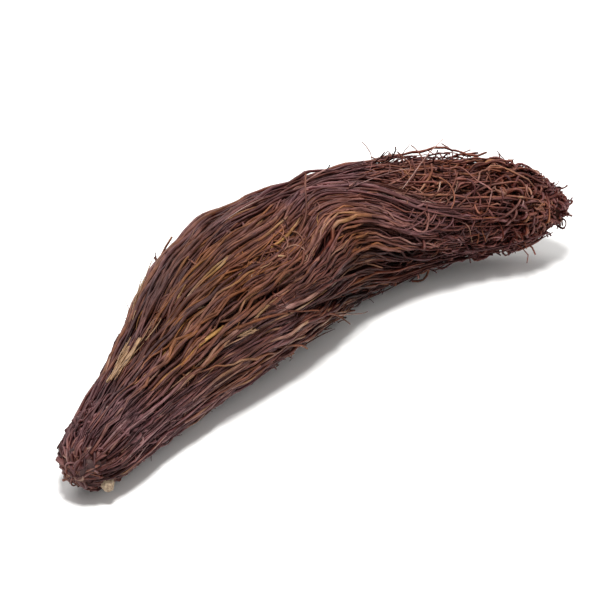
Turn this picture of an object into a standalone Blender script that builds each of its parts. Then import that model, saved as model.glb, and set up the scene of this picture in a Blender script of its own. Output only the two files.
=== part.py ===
"""One dried valerian root clump: a stubby rhizome whose rootlets have dried into a single bowed hank.

It is one solid, because the rhizome and its rootlets grew as one piece. The clump lies on its side on
z = 0 and rests on a small flat spot pressed under its belly. +X runs from the rhizome to the loose root
ends, and the hank bows towards +Y. The origin is on the resting flat, under the belly.

The rootlets lie in locks, as combed hair does. Here each lock is a few ropes, thicker than the real
rootlets, round a smaller core. Single rootlets at their true size stray from the locks on every side,
and others curl over round the loose end.
"""

import math
import random

import bmesh
import bpy
from mathutils import Matrix, Vector

MM = 0.001

# The hank, from the blunt end of the rhizome to where the rootlets come loose
HANK_LENGTH = 122 * MM
HANK_BOW = 18 * MM
RHIZOME_END_X = -58 * MM
RHIZOME_END_Y = -13.2 * MM
UNDER_CORE = 1.9 * MM
RAISED_RHIZOME = 1.5 * MM
RAISED_END = 3.5 * MM
# Share of the length, half width and half height there
STATIONS = (
    (0.00, 4.0 * MM, 3.7 * MM),
    (0.05, 4.9 * MM, 4.5 * MM),
    (0.12, 6.4 * MM, 5.7 * MM),
    (0.19, 7.7 * MM, 6.7 * MM),
    (0.28, 10.4 * MM, 8.5 * MM),
    (0.38, 14.0 * MM, 10.9 * MM),
    (0.50, 16.0 * MM, 12.5 * MM),
    (0.62, 15.2 * MM, 12.2 * MM),
    (0.73, 13.7 * MM, 11.6 * MM),
    (0.84, 11.7 * MM, 10.4 * MM),
    (0.93, 10.0 * MM, 9.2 * MM),
    (1.00, 8.6 * MM, 8.2 * MM),
)

# The core: the rhizome, then the packed inner rootlets, which run out between the loose ends
CORE_SIZE = 0.88
CORE_SIDES = 16
CORE_STEPS = 14
RHIZOME_SHARE = 0.12
DOME_SHARE = 0.045
DOME_RINGS = 4
CORE_FULL_SHARE = 0.72
CORE_LAST_SHARE = 0.96
CORE_TIP_SIZE = 0.34
SCAR_RIDGE = 0.05
SCAR_SPACING = 0.042
KNOB_LOBES = 3
KNOB_RELIEF = 0.12

# The stub of a side shoot, low on the front of the rhizome
STUB_SHARE = 0.035
STUB_ANGLE = math.radians(215)
STUB_LENGTH = 1.6 * MM
STUB_RADIUS = 1.3 * MM
STUB_SIDES = 7

# Locks and their ropes
LOCK_SEED = 11
ROUND_LOCKS = 13
INNER_LOCKS = 3
ROPES_PER_LOCK = 3
ROPE_SIDES = 5
ROPE_RADIUS = 1.65 * MM
ROPE_END_RADIUS = 0.6 * MM
ROPE_TAPER_PART = 0.7
ROPE_STEP = 10.5 * MM
ROPE_ROOT_DEPTH = 1.5 * MM
ROPE_ROOT_PART = 0.045
LOCK_HALF_WIDTH = 4.2 * MM
LOOSE_FROM = 0.72
LOOSE_REACH = 3.0 * MM

# Single rootlets that stray from the locks
STRAY_SEED = 23
STRAY_COUNT = 28
STRAY_RADIUS = 0.5 * MM
STRAY_SIDES = 3
STRAY_STEP = 5.5 * MM

# Tips of single rootlets that curl over round the loose end
HOOK_SEED = 37
HOOK_COUNT = 22
HOOK_SHARES = (0.76, 0.93)
HOOK_DEPTH = 0.5
HOOK_RADIUS = 0.5 * MM
HOOK_SIDES = 3
HOOK_STEPS = 7
HOOK_STEP = 1.9 * MM
HOOK_SUNK_STEPS = 2
HOOK_LEAN = (0.5, 1.0)
HOOK_TWIST = 1.2
HOOK_TURN = 0.40
EVEN_TURN = 0.618

# A rope's centre is held this many radii above the surface, so that it is pressed flat by the rest
FLOOR_HOLD = 0.78
FLOOR_BLOCK = 400 * MM


def clear_scene():
    for old in list(bpy.data.objects):
        bpy.data.objects.remove(old, do_unlink=True)


def eased(low, high, share):
    """A smooth step from low to high, held at both ends."""
    share = min(max(share, 0.0), 1.0)
    return low + (high - low) * share * share * (3 - 2 * share)


def half_sizes(share):
    """Half width and half height of the hank at a share of its length."""
    share = min(max(share, 0.0), 1.0)
    for first, last in zip(STATIONS, STATIONS[1:]):
        if share <= last[0]:
            part = (share - first[0]) / (last[0] - first[0])
            return (
                first[1] + (last[1] - first[1]) * part,
                first[2] + (last[2] - first[2]) * part,
            )
    return STATIONS[-1][1:]


def middle(share):
    """The hank's centre line. It bows to +Y; past its end it runs straight on."""
    held = min(share, 1.0)
    bow_peak = 0.75 * 0.25 ** (1 / 3)
    x = RHIZOME_END_X + HANK_LENGTH * held
    y = RHIZOME_END_Y + HANK_BOW * held * (1 - held**3) / bow_peak
    height = half_sizes(held)[1] * CORE_SIZE
    rise = eased(RAISED_RHIZOME, 0, held / 0.36) + eased(0, RAISED_END, (held - 0.66) / 0.34)
    point = Vector((x, y, height + UNDER_CORE + rise))
    if share > 1.0:
        slope = HANK_BOW * (1 - 4) / bow_peak
        point += Vector((HANK_LENGTH, slope, 0)) * (share - 1.0)
    return point


def across(share):
    """Level unit vector to the left of the centre line."""
    step = 0.01
    along = middle(share + step) - middle(share - step)
    along.z = 0
    along.normalize()
    return Vector((-along.y, along.x, 0))


def in_hank(share, angle, depth, out=0.0):
    """A point of the hank. The angle runs from +Y over the top; depth 1 is the surface, out is beyond it."""
    half_width, half_height = half_sizes(share)
    reach_side = half_width * depth + out
    reach_up = half_height * depth + out
    return (
        middle(share)
        + across(share) * (reach_side * math.cos(angle))
        + Vector((0, 0, reach_up * math.sin(angle)))
    )


def packed_size(share):
    """Where the packed rootlets end, against the hank's own size: a dome, all of it, then a little less."""
    short = max(0.0, 1 - share / DOME_SHARE)
    dome = math.sqrt(max(0.0, 1 - short * short))
    return dome * eased(1.0, CORE_SIZE, share / RHIZOME_SHARE)


def round_lock(rng, number):
    """A lock that runs from the rhizome to the loose ends, one of those that cover the hank all round."""
    angle = 2 * math.pi * (number + rng.uniform(-0.2, 0.2)) / ROUND_LOCKS
    return {
        "first": rng.uniform(0.004, 0.034),
        "last": rng.uniform(0.90, 1.05),
        "angles": (angle, angle + rng.uniform(-0.30, 0.30), angle + rng.uniform(-0.25, 0.25)),
        "lifts": (0.1 * MM, rng.uniform(0.2, 1.0) * MM, rng.uniform(-2.4, 0.6) * MM),
        "half_width": LOCK_HALF_WIDTH * rng.uniform(0.85, 1.15),
        "spread": rng.uniform(0.7, 1.1),
    }


def inner_lock(rng, number):
    """A lock that shows only where the rootlets come loose, inside the others."""
    angle = 2 * math.pi * (number + 0.5) / INNER_LOCKS
    return {
        "first": 0.55,
        "last": rng.uniform(0.98, 1.08),
        "angles": (angle, angle + rng.uniform(-0.3, 0.3), angle + rng.uniform(-0.3, 0.3)),
        "lifts": (-6.5 * MM, -6.0 * MM, -5.0 * MM),
        "half_width": LOCK_HALF_WIDTH,
        "spread": 0.9,
    }


def feature_lock(first, last, degrees, lifts, half_width, spread):
    return {
        "first": first,
        "last": last,
        "angles": tuple(math.radians(angle) for angle in degrees),
        "lifts": tuple(lift * MM for lift in lifts),
        "half_width": half_width * MM,
        "spread": spread,
    }


def make_locks():
    """Each lock: its first and last share, three angles, three lifts, half width, spread of its loose end."""
    rng = random.Random(LOCK_SEED)
    locks = [round_lock(rng, number) for number in range(ROUND_LOCKS)]
    locks += [inner_lock(rng, number) for number in range(INNER_LOCKS)]
    front = feature_lock(0.03, 0.75, (200, 210, 204), (0.3, 1.5, 2.6), 4.2, 1.4)
    back = feature_lock(0.04, 0.96, (60, 48, 70), (0.3, 1.7, 1.0), 4.8, 0.9)
    arch = feature_lock(0.46, 0.84, (166, 110, 178), (0.2, 2.0, 0.0), 4.8, 1.0)
    crown = feature_lock(0.02, 0.58, (120, 136, 112), (0.3, 1.7, 0.8), 4.4, 1.2)
    belly = feature_lock(0.10, 0.92, (270, 270, 255), (0.2, 0.5, 0.2), 3.6, 1.0)
    return locks + [front, back, arch, crown, belly]


def through(three, part):
    """A smooth curve through three values, at a part of the way from the first to the last."""
    first, mid, last = three
    return first * (1 - part) * (1 - 2 * part) + mid * 4 * part * (1 - part) + last * part * (2 * part - 1)


def lock_width(lock, part):
    """Half width of a lock: drawn together at the rhizome, widest past its middle."""
    gathered = 0.45 + 0.55 * math.sin(math.pi * min(part * 0.9, 0.5))
    return lock["half_width"] * gathered * eased(1.0, lock["spread"], (part - 0.6) / 0.4)


def lock_point(lock, part, side, out=0.0):
    """A point of a lock: side runs from -1 to 1 across it."""
    share = lock["first"] + (lock["last"] - lock["first"]) * part
    half_width, half_height = half_sizes(share)
    around = (half_width + half_height) / 2
    angle = through(lock["angles"], part) + side * lock_width(lock, part) / around
    return in_hank(share, angle, packed_size(share), through(lock["lifts"], part) + out)


def loosened(point, share, curl, part):
    """Moves a point of a loose end: curl is how far its tip goes to the left and up."""
    loose = max(0.0, (part - LOOSE_FROM) / (1 - LOOSE_FROM)) ** 2
    return point + (across(share) * curl[0] + Vector((0, 0, curl[1]))) * loose


def above_floor(point, radius):
    """Lifts a point that would go under the surface the clump lies on, and leaves a narrow flat there."""
    return Vector((point.x, point.y, max(point.z, radius * FLOOR_HOLD)))


def ring_frames(points):
    """Two unit vectors across the path at each point, carried along it without twisting."""
    frames = []
    side = None
    for index in range(len(points)):
        ahead = points[min(index + 1, len(points) - 1)]
        behind = points[max(index - 1, 0)]
        along = (ahead - behind).normalized()
        if side is None:
            side = along.orthogonal()
        side = (side - along * side.dot(along)).normalized()
        frames.append((side, along.cross(side)))
    return frames


def swept(name, points, radii, sides):
    """A closed tube along the points."""
    mesh = bmesh.new()
    rings = []
    for point, radius, (right, up) in zip(points, radii, ring_frames(points)):
        ring = []
        for corner in range(sides):
            turn = 2 * math.pi * corner / sides
            ring.append(mesh.verts.new(point + (right * math.cos(turn) + up * math.sin(turn)) * radius))
        rings.append(ring)
    bridge_rings(mesh, rings)
    return as_object(name, mesh)


def bridge_rings(mesh, rings):
    """Faces between the rings, and a cap on the first and on the last."""
    sides = len(rings[0])
    for before, after in zip(rings, rings[1:]):
        for corner in range(sides):
            beside = (corner + 1) % sides
            mesh.faces.new((before[corner], before[beside], after[beside], after[corner]))
    mesh.faces.new(rings[0][::-1])
    mesh.faces.new(rings[-1])


def as_object(name, mesh):
    bmesh.ops.recalc_face_normals(mesh, faces=mesh.faces)
    data = bpy.data.meshes.new(name)
    mesh.to_mesh(data)
    mesh.free()
    return bpy.data.objects.new(name, data)


def core_rings():
    """Share and size of each ring of the core: a dome, the rhizome and its scars, the hank, a taper."""
    rings = []
    for ring in range(1, DOME_RINGS):
        share = DOME_SHARE * (1 - math.cos(math.pi / 2 * ring / DOME_RINGS))
        rings.append((share, packed_size(share)))
    scar = DOME_SHARE
    while scar < RHIZOME_SHARE:
        rings.append((scar, packed_size(scar) + SCAR_RIDGE))
        rings.append((scar + SCAR_SPACING / 2, packed_size(scar + SCAR_SPACING / 2) - SCAR_RIDGE))
        scar += SCAR_SPACING
    for step in range(CORE_STEPS + 1):
        share = scar + (CORE_LAST_SHARE - scar) * step / CORE_STEPS
        taper = eased(1.0, CORE_TIP_SIZE, (share - CORE_FULL_SHARE) / (CORE_LAST_SHARE - CORE_FULL_SHARE))
        rings.append((share, packed_size(share) * taper))
    return rings


def make_core():
    """The rhizome and the packed inner rootlets, which the ropes stand out of."""
    mesh = bmesh.new()
    rings = []
    for share, size in core_rings():
        ring = []
        knob = KNOB_RELIEF * max(0.0, 1 - share / RHIZOME_SHARE)
        for corner in range(CORE_SIDES):
            angle = 2 * math.pi * corner / CORE_SIDES
            lobe = 1 + knob * math.sin(KNOB_LOBES * angle)
            ring.append(mesh.verts.new(in_hank(share, angle, size * lobe)))
        rings.append(ring)
    bridge_rings(mesh, rings)
    return as_object("core", mesh)


def make_stub():
    """The broken side shoot: a short peg, a little thinner at its end."""
    foot = in_hank(STUB_SHARE, STUB_ANGLE, 0.7)
    tip = in_hank(STUB_SHARE * 0.6, STUB_ANGLE, 1.0, STUB_LENGTH)
    points = [foot, foot.lerp(tip, 0.5), tip]
    return swept("stub", points, [STUB_RADIUS * 1.15, STUB_RADIUS, STUB_RADIUS * 0.9], STUB_SIDES)


def make_ropes(locks):
    """A few ropes side by side in each lock, thickest in the middle, thin where they come loose."""
    rng = random.Random(LOCK_SEED + 1)
    ropes = []
    for number, lock in enumerate(locks):
        for rope in range(ROPES_PER_LOCK):
            side = (rope - (ROPES_PER_LOCK - 1) / 2) * 2 / ROPES_PER_LOCK
            last = rng.uniform(0.86, 1.0)
            lift = rng.uniform(-0.3, 0.3) * MM + (1 - abs(side)) * 0.5 * MM
            girth = ROPE_RADIUS * rng.uniform(0.85, 1.15)
            phase = rng.uniform(0, 2 * math.pi)
            curl = (rng.uniform(-1, 1) * LOOSE_REACH, rng.uniform(-1, 0.5) * LOOSE_REACH)
            length = HANK_LENGTH * (lock["last"] - lock["first"]) * last
            steps = max(6, round(length / ROPE_STEP))
            points = []
            radii = []
            for step in range(steps + 1):
                part = last * step / steps
                wave = 0.14 * math.sin(2.2 * math.pi * part + phase)
                swell = math.sin(math.pi * min(0.15 + part * 0.8, 0.5))
                taper = (step / steps - ROPE_TAPER_PART) / (1 - ROPE_TAPER_PART)
                radius = eased(girth * swell, ROPE_END_RADIUS, taper)
                share = lock["first"] + (lock["last"] - lock["first"]) * part
                out = lift - eased(ROPE_ROOT_DEPTH, 0, part / ROPE_ROOT_PART)
                place = loosened(lock_point(lock, part, side + wave, out), share, curl, step / steps)
                points.append(above_floor(place, radius))
                radii.append(radius)
            ropes.append(swept(f"rope_{number}_{rope}", points, radii, ROPE_SIDES))
    return ropes


def make_strays(locks):
    """Single rootlets that leave the locks: they start sunk in a lock and stand off towards their tips."""
    rng = random.Random(STRAY_SEED)
    strays = []
    for number in range(STRAY_COUNT):
        lock = locks[number % len(locks)]
        first = rng.uniform(0.10, 0.70)
        span = rng.uniform(0.18, 0.32)
        side = rng.uniform(-0.9, 0.9)
        drift = rng.uniform(-1.6, 1.6)
        rise = rng.uniform(2.5, 6.5) * MM
        steps = max(4, round(HANK_LENGTH * span / STRAY_STEP))
        points = []
        radii = []
        for step in range(steps + 1):
            part = step / steps
            out = -0.6 * MM + rise * part**1.5
            place = lock_point(lock, first + span * part, side + drift * part**2, out)
            radius = STRAY_RADIUS * (1.25 - 0.55 * part)
            points.append(above_floor(place, radius))
            radii.append(radius)
        strays.append(swept(f"stray_{number}", points, radii, STRAY_SIDES))
    return strays


def make_hooks():
    """Single rootlets that come out of the loose end, evenly all round it, and curl back over it."""
    rng = random.Random(HOOK_SEED)
    hooks = []
    for number in range(HOOK_COUNT):
        share = rng.uniform(*HOOK_SHARES)
        angle = 2 * math.pi * (number * EVEN_TURN % 1.0)
        place = in_hank(share, angle, HOOK_DEPTH)
        outward = (place - middle(share)).normalized()
        along = (middle(share) - middle(share - 0.02)).normalized()
        heading = (outward * rng.uniform(*HOOK_LEAN) + along).normalized()
        axis = (outward.cross(along) + outward * rng.uniform(-HOOK_TWIST, HOOK_TWIST)).normalized()
        turn = Matrix.Rotation(HOOK_TURN * rng.uniform(0.8, 1.3), 3, axis)
        points = [place]
        radii = [HOOK_RADIUS]
        for step in range(HOOK_STEPS):
            place = place + heading * HOOK_STEP
            if step >= HOOK_SUNK_STEPS:
                heading = turn @ heading
            radius = HOOK_RADIUS * (1.1 - 0.5 * (step + 1) / HOOK_STEPS)
            points.append(above_floor(place, radius))
            radii.append(radius)
        hooks.append(swept(f"hook_{number}", points, radii, HOOK_SIDES))
    return hooks


def make_floor_block():
    """What the clump lies on: it cuts the resting flat."""
    mesh = bmesh.new()
    bmesh.ops.create_cube(mesh, size=FLOOR_BLOCK)
    bmesh.ops.translate(mesh, verts=mesh.verts, vec=(0, 0, -FLOOR_BLOCK / 2))
    return as_object("floor_block", mesh)


def joined(base, others, block):
    """The base with the others fused to it, less what would be under the surface it lies on."""
    group = bpy.data.collections.new("fused")
    bpy.context.scene.collection.children.link(group)
    for other in others:
        group.objects.link(other)
    bpy.context.scene.collection.objects.link(base)
    bpy.context.scene.collection.objects.link(block)
    fuse = base.modifiers.new("fuse", "BOOLEAN")
    fuse.operation = "UNION"
    fuse.operand_type = "COLLECTION"
    fuse.collection = group
    fuse.solver = "MANIFOLD"
    cut = base.modifiers.new("rest", "BOOLEAN")
    cut.operation = "DIFFERENCE"
    cut.object = block
    cut.solver = "MANIFOLD"
    bpy.context.view_layer.update()
    graph = bpy.context.evaluated_depsgraph_get()
    fused = bpy.data.meshes.new_from_object(base.evaluated_get(graph))
    for used in [base, block, *others]:
        bpy.data.objects.remove(used, do_unlink=True)
    bpy.data.collections.remove(group)
    return fused


def islands(mesh):
    """The faces of each body of the mesh."""
    left = set(mesh.faces)
    found = []
    while left:
        body = {left.pop()}
        edge = list(body)
        while edge:
            face = edge.pop()
            for near in {link for side in face.edges for link in side.link_faces} & left:
                left.discard(near)
                body.add(near)
                edge.append(near)
        found.append(body)
    return found


def volume(faces):
    """Signed volume inside the faces, which are triangles."""
    total = 0.0
    for face in faces:
        a, b, c = (corner.co for corner in face.verts)
        total += a.dot(b.cross(c)) / 6
    return total


def keep_one_body(data):
    """Fills the hollows that fusing sealed and drops loose scraps: only the outer surface stays."""
    mesh = bmesh.new()
    mesh.from_mesh(data)
    bmesh.ops.triangulate(mesh, faces=mesh.faces)
    bodies = sorted(islands(mesh), key=volume)
    spare = [face for body in bodies[:-1] for face in body]
    bmesh.ops.delete(mesh, geom=spare, context="FACES")
    mesh.to_mesh(data)
    mesh.free()


def root_material():
    """Dark brown dried root bark."""
    material = bpy.data.materials.new("dried root bark")
    material.use_nodes = True
    shader = material.node_tree.nodes["Principled BSDF"]
    shader.inputs["Base Color"].default_value = (0.085, 0.042, 0.026, 1)
    shader.inputs["Roughness"].default_value = 0.6
    shader.inputs["Metallic"].default_value = 0.0
    return material


def main():
    clear_scene()
    locks = make_locks()
    pieces = make_ropes(locks) + make_strays(locks) + make_hooks() + [make_stub()]
    data = joined(make_core(), pieces, make_floor_block())
    keep_one_body(data)
    data.materials.clear()
    data.materials.append(root_material())
    root = bpy.data.objects.new("rhizome_and_rootlets", data)
    bpy.context.scene.collection.objects.link(root)
    data.shade_smooth()
    data.set_sharp_from_angle(angle=math.radians(50))


main()
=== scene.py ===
# One dried valerian root clump on its side: a short rhizome and the hank of rootlets that grew from it.
# +X runs from the rhizome to the loose root ends, and the hank bows towards +Y. Lengths are in metres.

import math
import random
from functools import partial

import bmesh
import bpy
from mathutils import Matrix, Vector, noise


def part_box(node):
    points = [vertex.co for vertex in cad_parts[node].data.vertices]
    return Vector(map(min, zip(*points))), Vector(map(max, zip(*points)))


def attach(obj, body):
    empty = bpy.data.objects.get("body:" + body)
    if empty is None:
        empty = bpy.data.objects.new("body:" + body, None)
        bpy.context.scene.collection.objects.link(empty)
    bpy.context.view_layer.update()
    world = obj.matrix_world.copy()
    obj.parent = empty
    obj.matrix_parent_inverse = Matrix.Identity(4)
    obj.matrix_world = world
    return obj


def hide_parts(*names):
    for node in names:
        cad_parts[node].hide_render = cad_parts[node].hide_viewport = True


mm = 0.001
noise.seed_set(7)  # otherwise noise_vector starts from the clock, and no two runs are the same

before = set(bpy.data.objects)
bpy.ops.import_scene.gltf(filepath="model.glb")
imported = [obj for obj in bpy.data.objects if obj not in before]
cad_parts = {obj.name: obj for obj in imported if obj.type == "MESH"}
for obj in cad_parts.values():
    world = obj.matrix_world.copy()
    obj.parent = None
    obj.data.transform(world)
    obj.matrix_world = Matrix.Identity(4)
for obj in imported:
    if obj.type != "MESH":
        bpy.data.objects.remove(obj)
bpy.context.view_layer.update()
rootLow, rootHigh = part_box("rhizome_and_rootlets")
print("frame loaded, root clump", [round(side / mm, 1) for side in rootHigh - rootLow], "mm")


def held(value, low=0.0, high=1.0):
    return min(max(value, low), high)


def between(low, high, part):
    return low + (high - low) * part


def eased(low, high, share):
    share = held(share)
    return low + (high - low) * share * share * (3 - 2 * share)


def bump(value, centre, width):
    return math.exp(-(((value - centre) / width) ** 2))


def hermite(low, high, lowSlope, highSlope, t):
    ends = low * ((2 * t - 3) * t * t + 1) + high * (3 - 2 * t) * t * t
    return ends + lowSlope * ((t - 2) * t + 1) * t + highSlope * (t - 1) * t * t


def spaced(steps):
    # even parts of a way, with both its ends
    return [step / steps for step in range(steps + 1)]


def stepsIn(length, step, least):
    return max(least, round(length / step))


def cornerAngles(corners):
    return [2 * math.pi * corner / corners for corner in range(corners)]


def goldenAngle(number):
    # angles that lie evenly all round, however many there are
    return 2 * math.pi * (number * 0.618 % 1.0)


# The hank: the same course and sections as the solid that it dresses

hank = {
    "length": 122 * mm,
    "bow": 18 * mm,
    "start": (-58 * mm, -13.2 * mm),
    "underCore": 1.9 * mm,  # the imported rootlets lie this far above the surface
    "raisedRhizome": 1.5 * mm,
    "raisedEnd": 3.5 * mm,
    "coreSize": 0.88,
    "rhizomeShare": 0.12,
    "domeShare": 0.045,
    "endDome": (0.955, 1.062),  # shares where the loose end starts to round off and where it closes
    "twistShares": (0.24, 0.95),
    "twist": math.radians(58),  # how far the rootlets wind round the hank between those
    "arch": (0.69, 0.125, 140, 60, 47),  # share and angle of its middle, each with its reach, and its rise
    "stations": (  # share of the length, half width, half height
        (0.00, 4.0 * mm, 3.7 * mm),
        (0.05, 4.9 * mm, 4.5 * mm),
        (0.12, 6.4 * mm, 5.7 * mm),
        (0.19, 7.7 * mm, 6.7 * mm),
        (0.28, 10.4 * mm, 8.5 * mm),
        (0.38, 14.0 * mm, 10.9 * mm),
        (0.50, 16.0 * mm, 12.5 * mm),
        (0.62, 15.2 * mm, 12.2 * mm),
        (0.73, 13.7 * mm, 11.6 * mm),
        (0.84, 11.7 * mm, 10.4 * mm),
        (0.93, 10.0 * mm, 9.2 * mm),
        (1.00, 8.6 * mm, 8.2 * mm),
    ),
}
bowPeak = 0.75 * 0.25 ** (1 / 3)  # the most that share - share**4 comes to


def smoothSize(share, kind):
    # half width (kind 1) or half height (kind 2), on a smooth curve through the stations
    stations = hank["stations"]
    index = max(at for at in range(len(stations) - 1) if stations[at][0] <= share)
    first, last = stations[index], stations[index + 1]
    width = last[0] - first[0]
    t = (share - first[0]) / width
    slopes = []
    for at in (index, index + 1):
        before, after = stations[max(at - 1, 0)], stations[min(at + 1, len(stations) - 1)]
        slopes.append((after[kind] - before[kind]) / (after[0] - before[0]) * width)
    return hermite(first[kind], last[kind], *slopes, t)


sizeSteps = 400
sizeTable = [(smoothSize(share, 1), smoothSize(share, 2)) for share in spaced(sizeSteps)]


def halfSizes(share):
    place = held(share) * sizeSteps
    step = min(int(place), sizeSteps - 1)
    (width, height), (nextWidth, nextHeight) = sizeTable[step], sizeTable[step + 1]
    return between(width, nextWidth, place - step), between(height, nextHeight, place - step)


def meanRadius(share):
    return sum(halfSizes(share)) / 2


def middle(share):
    inside = min(share, 1.0)
    x = hank["start"][0] + hank["length"] * inside
    y = hank["start"][1] + hank["bow"] * inside * (1 - inside**3) / bowPeak
    height = halfSizes(inside)[1] * hank["coreSize"]
    rise = eased(hank["raisedRhizome"], 0, inside / 0.36)
    rise += eased(0, hank["raisedEnd"], (inside - 0.66) / 0.34)
    point = Vector((x, y, height + hank["underCore"] + rise))
    if share > 1.0:  # straight on past the end
        point += Vector((hank["length"], hank["bow"] * -3 / bowPeak, 0)) * (share - 1.0)
    return point


def course(first, last):
    # which way the hank runs between two shares of its length
    return (middle(last) - middle(first)).normalized()


def across(share):
    along = middle(share + 0.01) - middle(share - 0.01)
    along.z = 0
    along.normalize()
    return Vector((-along.y, along.x, 0))


def flowed(share, angle):
    # the rootlets wind round the hank, and on its flank they rise in an arch and bend down again
    low, high = hank["twistShares"]
    angle += hank["twist"] * eased(0, 1, (share - low) / (high - low))
    peak, reach, turn, width, rise = hank["arch"]
    away = (math.degrees(angle) - turn + 180) % 360 - 180
    return angle - math.radians(rise) * bump(share, peak, reach) * bump(away, 0, width)


def inHank(share, angle, depth, out=0.0):
    # the angle runs from the bow's outer side over the top; depth 1 is the surface, out is beyond it
    halfWidth, halfHeight = halfSizes(share)
    side = across(share) * ((halfWidth * depth + out) * math.cos(angle))
    return middle(share) + side + Vector((0, 0, (halfHeight * depth + out) * math.sin(angle)))


def packedSize(share):
    low, high = hank["endDome"]
    short = max(0.0, 1 - share / hank["domeShare"], (share - low) / (high - low))
    dome = math.sqrt(max(0.0, 1 - short * short))
    return dome * eased(1.0, hank["coreSize"], share / hank["rhizomeShare"])


def onPacked(share, angle, out=0.0):
    return inHank(share, angle, packedSize(share), out)


def aboveHank(point, share):
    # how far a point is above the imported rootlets, and which way is out of the hank there
    low, high = hank["endDome"]
    centre = held(share, hank["domeShare"], low)
    halfWidth, halfHeight = halfSizes(centre)
    side = across(centre)
    offset = point - middle(centre)
    leftwards = offset.dot(side) / halfWidth
    upwards = offset.z / halfHeight
    endwards, endReach = 0.0, Vector((-hank["domeShare"] * hank["length"], 0, 0))
    if share < hank["domeShare"]:
        endwards = -offset.x / endReach.length
    elif share > low:
        endReach = Vector((side.y, -side.x, 0)) * ((high - low) * hank["length"] / packedSize(low))
        endwards = max(0.0, offset.dot(endReach.normalized()) / endReach.length)
    outward = side * (leftwards / halfWidth) + Vector((0, 0, upwards / halfHeight))
    outward += endReach.normalized() * (endwards / endReach.length)
    ring = math.sqrt(leftwards**2 + upwards**2 + endwards**2)
    return (ring - packedSize(centre)) * (halfWidth + halfHeight) / 2, outward.normalized()


# Locks: the rootlets have dried together in these, as combed hair does

lockPlan = {
    "seed": 11,
    "round": 13,
    "inner": 3,
    "halfWidth": 4.2 * mm,
    "crest": 1.6 * mm,  # how far a lock stands up in its middle
    "looseFrom": 0.72,
    "looseReach": 1.6 * mm,
    "tuck": (0.2 * mm, 2.4 * mm),  # how deep the ends of the short locks lie
    "rootlets": {"round": 66, "inner": 0, "belly": 38},  # the inner ones are out of sight
}


def roundLock(rng, number):
    angle = 2 * math.pi * (number + rng.uniform(-0.2, 0.2)) / lockPlan["round"]
    return {
        "first": rng.uniform(0.004, 0.034),
        "last": rng.uniform(0.95, 1.03),
        "angles": (angle, angle + rng.uniform(-0.30, 0.30), angle + rng.uniform(-0.25, 0.25)),
        "lifts": (0.1 * mm, rng.uniform(0.2, 1.0) * mm, rng.uniform(-2.4, 0.6) * mm),
        "halfWidth": lockPlan["halfWidth"] * rng.uniform(0.85, 1.15),
        "spread": rng.uniform(0.7, 1.1),
        "kind": "round",
    }


def innerLock(rng, number):
    angle = 2 * math.pi * (number + 0.5) / lockPlan["inner"]
    return {
        "first": 0.55,
        "last": rng.uniform(0.98, 1.03),
        "angles": (angle, angle + rng.uniform(-0.3, 0.3), angle + rng.uniform(-0.3, 0.3)),
        "lifts": (-6.5 * mm, -6.0 * mm, -5.0 * mm),
        "halfWidth": lockPlan["halfWidth"],
        "spread": 0.9,
        "kind": "inner",
    }


def featureLock(first, last, degrees, lifts, halfWidth, spread, kind="round"):
    return {
        "first": first,
        "last": last,
        "angles": tuple(math.radians(angle) for angle in degrees),
        "lifts": tuple(lift * mm for lift in lifts),
        "halfWidth": halfWidth * mm,
        "spread": spread,
        "kind": kind,
    }


def makeLocks():
    rng = random.Random(lockPlan["seed"])
    locks = [roundLock(rng, number) for number in range(lockPlan["round"])]
    locks += [innerLock(rng, number) for number in range(lockPlan["inner"])]
    front = featureLock(0.03, 0.75, (200, 194, 182), (0.3, 1.5, 2.2), 4.2, 1.4)
    back = featureLock(0.04, 0.96, (60, 38, 16), (0.3, 1.7, 1.0), 4.8, 0.9)
    arch = featureLock(0.36, 0.92, (140, 134, 128), (-0.3, 1.3, 0.0), 4.4, 1.2)
    crown = featureLock(0.02, 0.66, (112, 116, 112), (0.3, 1.6, 0.6), 4.4, 1.2)
    belly = featureLock(0.10, 0.92, (270, 270, 255), (0.2, 0.5, 0.2), 3.6, 1.0, "belly")
    return locks + [front, back, arch, crown, belly]


def through(values, part):
    # a smooth curve through evenly spaced values
    last = len(values) - 1
    at = held(int(part * last), 0, last - 1)
    before, low, high, after = (values[held(at + step, 0, last)] for step in (-1, 0, 1, 2))
    return hermite(low, high, (high - before) / 2, (after - low) / 2, part * last - at)


def lockWidth(lock, part):
    gathered = 0.45 + 0.55 * math.sin(math.pi * min(part * 0.9, 0.5))
    return lock["halfWidth"] * gathered * eased(1.0, lock["spread"], (part - 0.6) / 0.4)


def lockShare(lock, part):
    return between(lock["first"], lock["last"], part)


def lockAngle(lock, part):
    angle = through(lock["angles"], part)
    return flowed(lockShare(lock, part), angle) if lock["kind"] == "round" else angle


def lockPoint(lock, part, side, out):
    share = lockShare(lock, part)
    angle = lockAngle(lock, part) + side * lockWidth(lock, part) / meanRadius(share)
    return onPacked(share, angle, through(lock["lifts"], part) + out)


# Centre lines of rootlets, worked out here and swept into skins further on

class Waves:
    # a slow and a quick sway with their own phases
    def __init__(self, rng, slow, quick):
        self.slow = (slow * rng.uniform(0.5, 1.2), rng.uniform(0.7, 1.8), rng.uniform(0, 1))
        self.quick = (quick * rng.uniform(0.5, 1.4), rng.uniform(5, 11), rng.uniform(0, 1))

    def at(self, part):
        turns = [(size, part * rate + phase) for size, rate, phase in (self.slow, self.quick)]
        return sum(size * math.sin(2 * math.pi * turn) for size, turn in turns)


def anyWay(rng):
    return Vector([rng.gauss(0, 1) for _ in range(3)]).normalized()


def anyNoise(rng):
    # a rootlet's own start in the noise, far from the others'
    return anyWay(rng) * 40


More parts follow.
